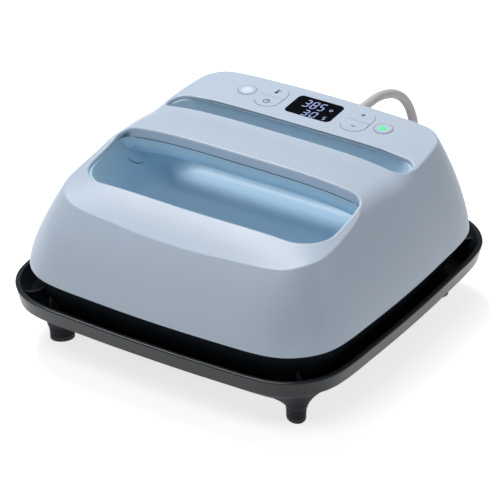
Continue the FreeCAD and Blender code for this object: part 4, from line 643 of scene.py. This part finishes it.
LEG_X, LEG_Y = 104, 103.5
LEG_LONG, LEG_SHORT = 9.5, 7.2              # half widths of a leg's oval, along the base's diagonal and across
FLARE_FOOT, FLARE_FOOT_SIZE = 12, 1.14      # the fillet's lower end: its height, and its size in leg ovals
FLARE_BEND_LOWEST, FLARE_BEND_SIZE = 18, 1.45
FLARE_REACH, FLARE_SIDE_REACH, FLARE_LEAST = 6, 16, 2       # how far the fillet runs out under the pan
FLARE_SINK = 0.15                           # how far its upper end goes into the pan
LOOK_FROM = -10                             # height, below the floor, from which the pan is looked for
SLOPE_STEP, STEEPEST = 1.5, 1.4             # run over which the pan's slope is measured, and its limit
FLARE_SIDES, FLARE_ROWS = 56, 10

PLUG_RIBS, PLUG_RIB_START, PLUG_RIB_PITCH = 6, -41, 3.6
PLUG_RIB = ((0, 5), (1.9, 5), (2.2, 4.35), (3.3, 4.35))     # place along the plug, and radius
PLUG_CASE = [                               # place along the plug, half width, half height, squareness
    (-19.2, 5.2, 5.2, 2), (-18.6, 8.6, 6.6, 2.3), (-16.5, 11, 8.2, 2.8), (-12, 12.2, 9, 3.2),
    (-5, 12, 8.6, 3.4), (3, 11.9, 8.5, 3.6), (9, 12.6, 9.2, 4), (14, 13, 9.5, 4.4), (18, 13, 9.5, 4.4),
    (18.7, 12.7, 9.2, 4.4), (19, 12.1, 8.6, 4.4),
]
PLUG_SIDES = 48
PLUG_TURN = 190
PLUG_CENTRE = Vector((-80, 253.3, 25.7))


def make_strain_relief():
    """A moulded boot: flange and neck in the wall, collar outside, then a ribbed taper."""
    profile = list(RELIEF_COLLAR)
    length = TAPER_END - TAPER_START
    for rib in range(RIBS):
        low = TAPER_START + length * rib / RIBS
        for share, groove in RIB_SECTION:
            along = low + length / RIBS * share
            width = TAPER_ROOT + (TAPER_TIP - TAPER_ROOT) * (along - TAPER_START) / length
            profile.append((width - groove, along))
    profile += [(TAPER_TIP, TAPER_END), (TAPER_TIP, RELIEF_END - RELIEF_END_BEVEL),
                (TAPER_TIP - RELIEF_END_BEVEL, RELIEF_END), (RELIEF_BORE, RELIEF_END)]
    boot = revolved("cord_boot", [(radius * MM, along * MM) for radius, along in profile], RELIEF_AXIS,
                    materials["cord_grey"])
    soften_edges(boot)
    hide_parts("cord_strain_relief")
    carry(boot, "press")
    return boot


def underside(pan, point):
    """Height of the pan's outside over a point on the floor, or None beside the pan."""
    hit = pan.ray_cast(Vector((point.x, point.y, LOOK_FROM)) * MM, UP)[0]
    return hit.z / MM if hit else None


def flare_column(pan, centre, oval, reach):
    """Points up a leg's side and out along the pan's underside, in a curve between the two."""
    away = oval.normalized()
    edge = centre + oval * FLARE_BEND_SIZE
    while reach > FLARE_LEAST:
        near = underside(pan, edge + away * reach)
        far = underside(pan, edge + away * (reach + SLOPE_STEP))
        if near is not None and far is not None:
            break
        reach -= 1
    slope = min(max((far - near) / SLOPE_STEP, 0), STEEPEST)
    low = centre + oval * FLARE_FOOT_SIZE + UP * FLARE_FOOT
    bend = edge + UP * max(near - slope * reach, FLARE_BEND_LOWEST)
    high = edge + away * reach + UP * (near + FLARE_SINK)
    curve = [bezier(low, bend, high, row / (FLARE_ROWS - 1)) for row in range(FLARE_ROWS)]
    return [centre + oval + UP * FLARE_FOOT, *curve, high + UP - away]


def make_leg_flares():
    """The pan's underside runs down into each leg in a wide fillet, found by looking up at the pan."""
    mesh = frame["nodes"]["base_pan"].data
    pan = BVHTree.FromPolygons([vertex.co for vertex in mesh.vertices],
                               [face.vertices for face in mesh.polygons])
    vertices, faces = [], []
    for side, end in ((-1, -1), (-1, 1), (1, -1), (1, 1)):
        centre = Vector((side * LEG_X, end * LEG_Y, 0))
        diagonal = Matrix.Rotation(math.atan2(end, side), 3, "Z")
        columns = []
        for turn in round_turn(FLARE_SIDES):
            oval = diagonal @ Vector((LEG_LONG * math.cos(turn), LEG_SHORT * math.sin(turn), 0))
            reach = FLARE_REACH + FLARE_SIDE_REACH * math.sin(turn) ** 2
            columns.append(flare_column(pan, centre, oval, reach))
        faces += tube_faces(len(columns[0]), FLARE_SIDES, len(vertices))
        vertices += [point * MM for ring in zip(*columns) for point in ring]
    carry(add_mesh("leg_flares", vertices, faces, materials["pan_grey"]), "dock")


def squared(part, power):
    """A sine or cosine for an oval that is squarer the higher the power, and round at 2."""
    return math.copysign(abs(part) ** (2 / power), part)


def make_plug():
    """A moulded plug: ribbed neck, shoulders and a waisted case."""
    sections = [(PLUG_RIB_START + PLUG_RIB_PITCH * rib + along, radius, radius, 2)
                for rib in range(PLUG_RIBS) for along, radius in PLUG_RIB] + PLUG_CASE
    place = Matrix.Translation(PLUG_CENTRE) @ Matrix.Rotation(math.radians(PLUG_TURN), 4, "Z")
    vertices = []
    for along, half_width, half_height, power in sections:
        for turn in round_turn(PLUG_SIDES):
            across = squared(math.cos(turn), power) * half_width
            up = squared(math.sin(turn), power) * half_height
            vertices.append(place @ Vector((along, across, up)) * MM)
    plug = add_mesh("cord_plug", vertices, tube_faces(len(sections), PLUG_SIDES), materials["cord_grey"])
    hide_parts("plug_body")
    carry(plug, "dock")
    return plug


# ---------------------------------------------------------------------------
# Power cord: the free stretch, the coil behind the press and the lead to the plug
# ---------------------------------------------------------------------------
CORD_DIAMETER = 7.6 * MM
CORD_ROUTE = [
    (0, 158, 107.8), (0, 170.8, 107.8), (0.3, 183.4, 108.3), (0.9, 196, 106.2), (1.8, 208.6, 102),
    (3.1, 219.6, 95), (4.7, 227.8, 85.2), (6.5, 232.4, 73.2), (8, 234.2, 60.3), (8.9, 236.4, 47.2),
    (8.6, 241.2, 34.7), (6.6, 248.4, 23.4), (2.2, 257.6, 14.1), (-5.2, 267, 7.8), (-15.2, 275, 4.8),
    (-27.4, 281.2, 4.6),
]
COIL_CENTRE = Vector((-51.1, 227.9, 0))
COIL_START, COIL_STEP = 66, 22.5            # degrees round the coil's centre, and between control points
COIL_ENTRY, COIL_OUTER, COIL_INNER, COIL_LAST = 58.3, 53.5, 33.6, 48.7      # centre-line radii
ENTRY_SWEEP = 75                            # degrees over which the cord comes in to the outer radius
COIL_PITCH = 7.85                           # from one turn to the next
COIL_TURNS = (912.61, 1007.39, 174.5)       # degrees wound inwards, then outwards, then on the top
CLIMBS = (100, 75)                          # degrees over which the cord climbs to the next layer
COIL_FLOOR, COIL_LAYER = 4.6, 7.8
PLUG_NECK = Vector((-39.6, 260.4, 25.7))
NECK_TURN, NECK_STEPS = 31.5, 4             # radius of the last bend, and its control points
NECK_CLIMB = 4.5                            # control points over which it rises to the plug
NECK_LEAD = (7, 22)                         # control points on the straight end in the plug
CORD_SIDES, CORD_SAMPLES = 16, 8            # sides round the cord, and points of its line a control point


def coil_point(angle, radius, height):
    turn = math.radians(angle)
    return COIL_CENTRE + Vector((radius * math.cos(turn), radius * math.sin(turn), height))


def eased(share):
    share = min(max(share, 0), 1)
    return share * share * (3 - 2 * share)


def turned(past, climb, sense):
    """How far the radius has gone past a change of layer, where the winding turns back."""
    if past < climb:
        return -sense * COIL_PITCH / 360 * (past - past * past / climb)
    return sense * COIL_PITCH * (past - climb) / 360


def coil_points():
    """Turns wound inwards on the floor, outwards on top of them, then on the top and round to the plug."""
    inwards, outwards, last = COIL_TURNS
    total = sum(COIL_TURNS)
    steps = round(total / COIL_STEP)
    climb_out, climb_top = CLIMBS
    widen = 1 + (1 / math.cos(math.radians(COIL_STEP / 2)) - 1) / 2     # the spline runs inside its points
    turned_out = COIL_INNER + turned(outwards, climb_out, 1)
    points = []
    for step in range(1, steps + 1):
        angle = total * step / steps
        second, third = angle - inwards, angle - inwards - outwards
        height = COIL_FLOOR
        if second <= 0:
            radius = COIL_OUTER - COIL_PITCH * angle / 360
            radius += (COIL_ENTRY - COIL_OUTER) * (1 - eased(angle / ENTRY_SWEEP))
        elif third <= 0:
            radius = COIL_INNER + turned(second, climb_out, 1)
            height += COIL_LAYER * eased(second / climb_out)
        else:
            radius = turned_out + turned(third, climb_top, -1)
            if third > climb_top:
                share = eased((third - climb_top) / (last - climb_top))
                radius = turned_out + (COIL_LAST - turned_out) * share
            height += COIL_LAYER * (1 + eased(third / climb_top))
        points.append(coil_point(COIL_START + angle, radius * widen, height))
    return points + neck_points()


def neck_points():
    """The last bend, a quarter turn that rises from the coil's top to the plug, and the straight end."""
    ahead = Vector((math.cos(math.radians(PLUG_TURN)), math.sin(math.radians(PLUG_TURN)), 0))
    middle = PLUG_NECK + NECK_TURN * ahead.cross(-UP)
    half = 90 / NECK_STEPS / 2
    reach = NECK_TURN / math.cos(math.radians(half))
    top = COIL_FLOOR + 2 * COIL_LAYER
    points = []
    for step in range(NECK_STEPS):
        turn = math.radians(PLUG_TURN - 180 + half + 2 * half * step)
        height = top + (PLUG_NECK.z - top) * eased((step + 1) / NECK_CLIMB)
        points.append(Vector((middle.x + reach * math.cos(turn), middle.y + reach * math.sin(turn), height)))
    return points + [PLUG_NECK + along * ahead for along in NECK_LEAD]


def cord_curve():
    """The cord's smooth line as a NURBS spline with the route and the turns as control points."""
    points = [Vector(point) for point in CORD_ROUTE] + coil_points()
    data = bpy.data.curves.new("power_cord_line", "CURVE")
    data.dimensions = "3D"
    data.resolution_u = CORD_SAMPLES
    spline = data.splines.new("NURBS")
    spline.points.add(len(points) - 1)
    for control, point in zip(spline.points, points):
        control.co = (*(point * MM), 1)
    spline.order_u = 3
    spline.use_endpoint_u = True
    return data


def make_cord():
    """The cord as a tube along that line, and the points that it follows."""
    line = bpy.data.objects.new("power_cord_line", cord_curve())
    scene.collection.objects.link(line)
    flat = bpy.data.meshes.new_from_object(line)
    path = [vertex.co.copy() for vertex in flat.vertices]
    bpy.data.objects.remove(line)
    bpy.data.meshes.remove(flat)
    radii = [CORD_DIAMETER / 2] * len(path)
    cord = swept_tube("power_cord", path, radii, materials["cord_grey"], CORD_SIDES)
    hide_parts("cord", "cord_coil")
    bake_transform(cord)
    return cord, path


cord, cord_path = make_cord()
boot, plug = make_strain_relief(), make_plug()
make_leg_flares()


# ---------------------------------------------------------------------------
# Finishes of the CAD nodes, and the keys' light and rounded edges
# ---------------------------------------------------------------------------
LIT_KEYS = (                # node, material, side, radius in metres at which the light ends, colour, strength
    ("power_button", "power_key", -1, 0.0052, (0.92, 0.97, 1.0), 0.34),
    ("start_button", "start_key", 1, 0.0056, (0.12, 0.80, 0.40), 0.10),
)
KEYS = ("power_button", "start_button", "temperature_button", "timer_button", "increase_button",
        "decrease_button")

finish_nodes()
for key, name, side, outer, colour, strength in LIT_KEYS:
    key_middle = PANEL @ Vector((side * ROUND_KEY_X, 0, 0)) * MM
    frame["nodes"][key].data.materials[0] = lit_key(name, key_middle, outer, colour, strength)
for key in KEYS:
    soften_edges(frame["nodes"][key])


# ---------------------------------------------------------------------------
# Floor, backdrop and studio light
# ---------------------------------------------------------------------------
FLOOR_HALF = 8
FLOOR_GREY, FLOOR_GLOW = 0.80, 0.74
STUDIO_FILL, STUDIO_WHITE = 0.16, 1.0       # the world's strength as light, and as seen by the camera
LIGHT_TARGET = Vector((0, 0, 0.1))


def backdrop_material():
    """White to the camera and in reflections, with the object's shadow kept."""
    material = bpy.data.materials.new("backdrop")
    material.use_nodes = True
    nodes, links = material.node_tree.nodes, material.node_tree.links
    nodes.clear()
    output = nodes.new("ShaderNodeOutputMaterial")
    paths = nodes.new("ShaderNodeLightPath")
    diffuse = nodes.new("ShaderNodeBsdfDiffuse")
    diffuse.inputs["Color"].default_value = (FLOOR_GREY, FLOOR_GREY, FLOOR_GREY, 1)
    bright = nodes.new("ShaderNodeEmission")
    bright.inputs["Color"].default_value = WHITE
    bright.inputs["Strength"].default_value = FLOOR_GLOW
    both = nodes.new("ShaderNodeAddShader")
    seen = nodes.new("ShaderNodeMath")
    seen.operation = "MAXIMUM"
    mix = nodes.new("ShaderNodeMixShader")
    links.new(paths.outputs["Is Camera Ray"], seen.inputs[0])
    links.new(paths.outputs["Is Glossy Ray"], seen.inputs[1])
    links.new(diffuse.outputs[0], both.inputs[0])
    links.new(bright.outputs[0], both.inputs[1])
    links.new(seen.outputs[0], mix.inputs["Fac"])
    links.new(diffuse.outputs[0], mix.inputs[1])
    links.new(both.outputs[0], mix.inputs[2])
    links.new(mix.outputs[0], output.inputs["Surface"])
    return material


def make_stage():
    corners = [(side * FLOOR_HALF, end * FLOOR_HALF, 0) for side, end in ((-1, -1), (1, -1), (1, 1), (-1, 1))]
    floor = add_mesh("floor", corners, [(0, 1, 2, 3)], backdrop_material(), smooth=False)
    world = bpy.data.worlds.new("studio")
    scene.world = world
    world.use_nodes = True
    nodes, links = world.node_tree.nodes, world.node_tree.links
    background = nodes["Background"]
    paths = nodes.new("ShaderNodeLightPath")
    strength = nodes.new("ShaderNodeMapRange")
    strength.inputs["To Min"].default_value = STUDIO_FILL
    strength.inputs["To Max"].default_value = STUDIO_WHITE
    links.new(paths.outputs["Is Camera Ray"], strength.inputs["Value"])
    links.new(strength.outputs["Result"], background.inputs["Strength"])
    background.inputs["Color"].default_value = WHITE


def area_light(name, place, width, height, power):
    """A white panel of light that faces the object, in metres and watts."""
    data = bpy.data.lights.new(name, "AREA")
    data.shape = "RECTANGLE"
    data.size = width
    data.size_y = height
    data.energy = power
    lamp = bpy.data.objects.new(name, data)
    lamp.matrix_world = aimed(Vector(place), LIGHT_TARGET)
    scene.collection.objects.link(lamp)


make_stage()
area_light("key", (-0.8, 0.5, 1.85), 0.8, 0.8, 29)
area_light("overhead", (0.1, -1.0, 1.75), 1.0, 0.8, 7)
area_light("front_left", (-0.6, -1.8, 0.35), 0.8, 0.6, 2.6)
area_light("right", (1.7, 0.6, 0.6), 0.6, 0.6, 2.8)
scene.view_settings.view_transform = "Standard"
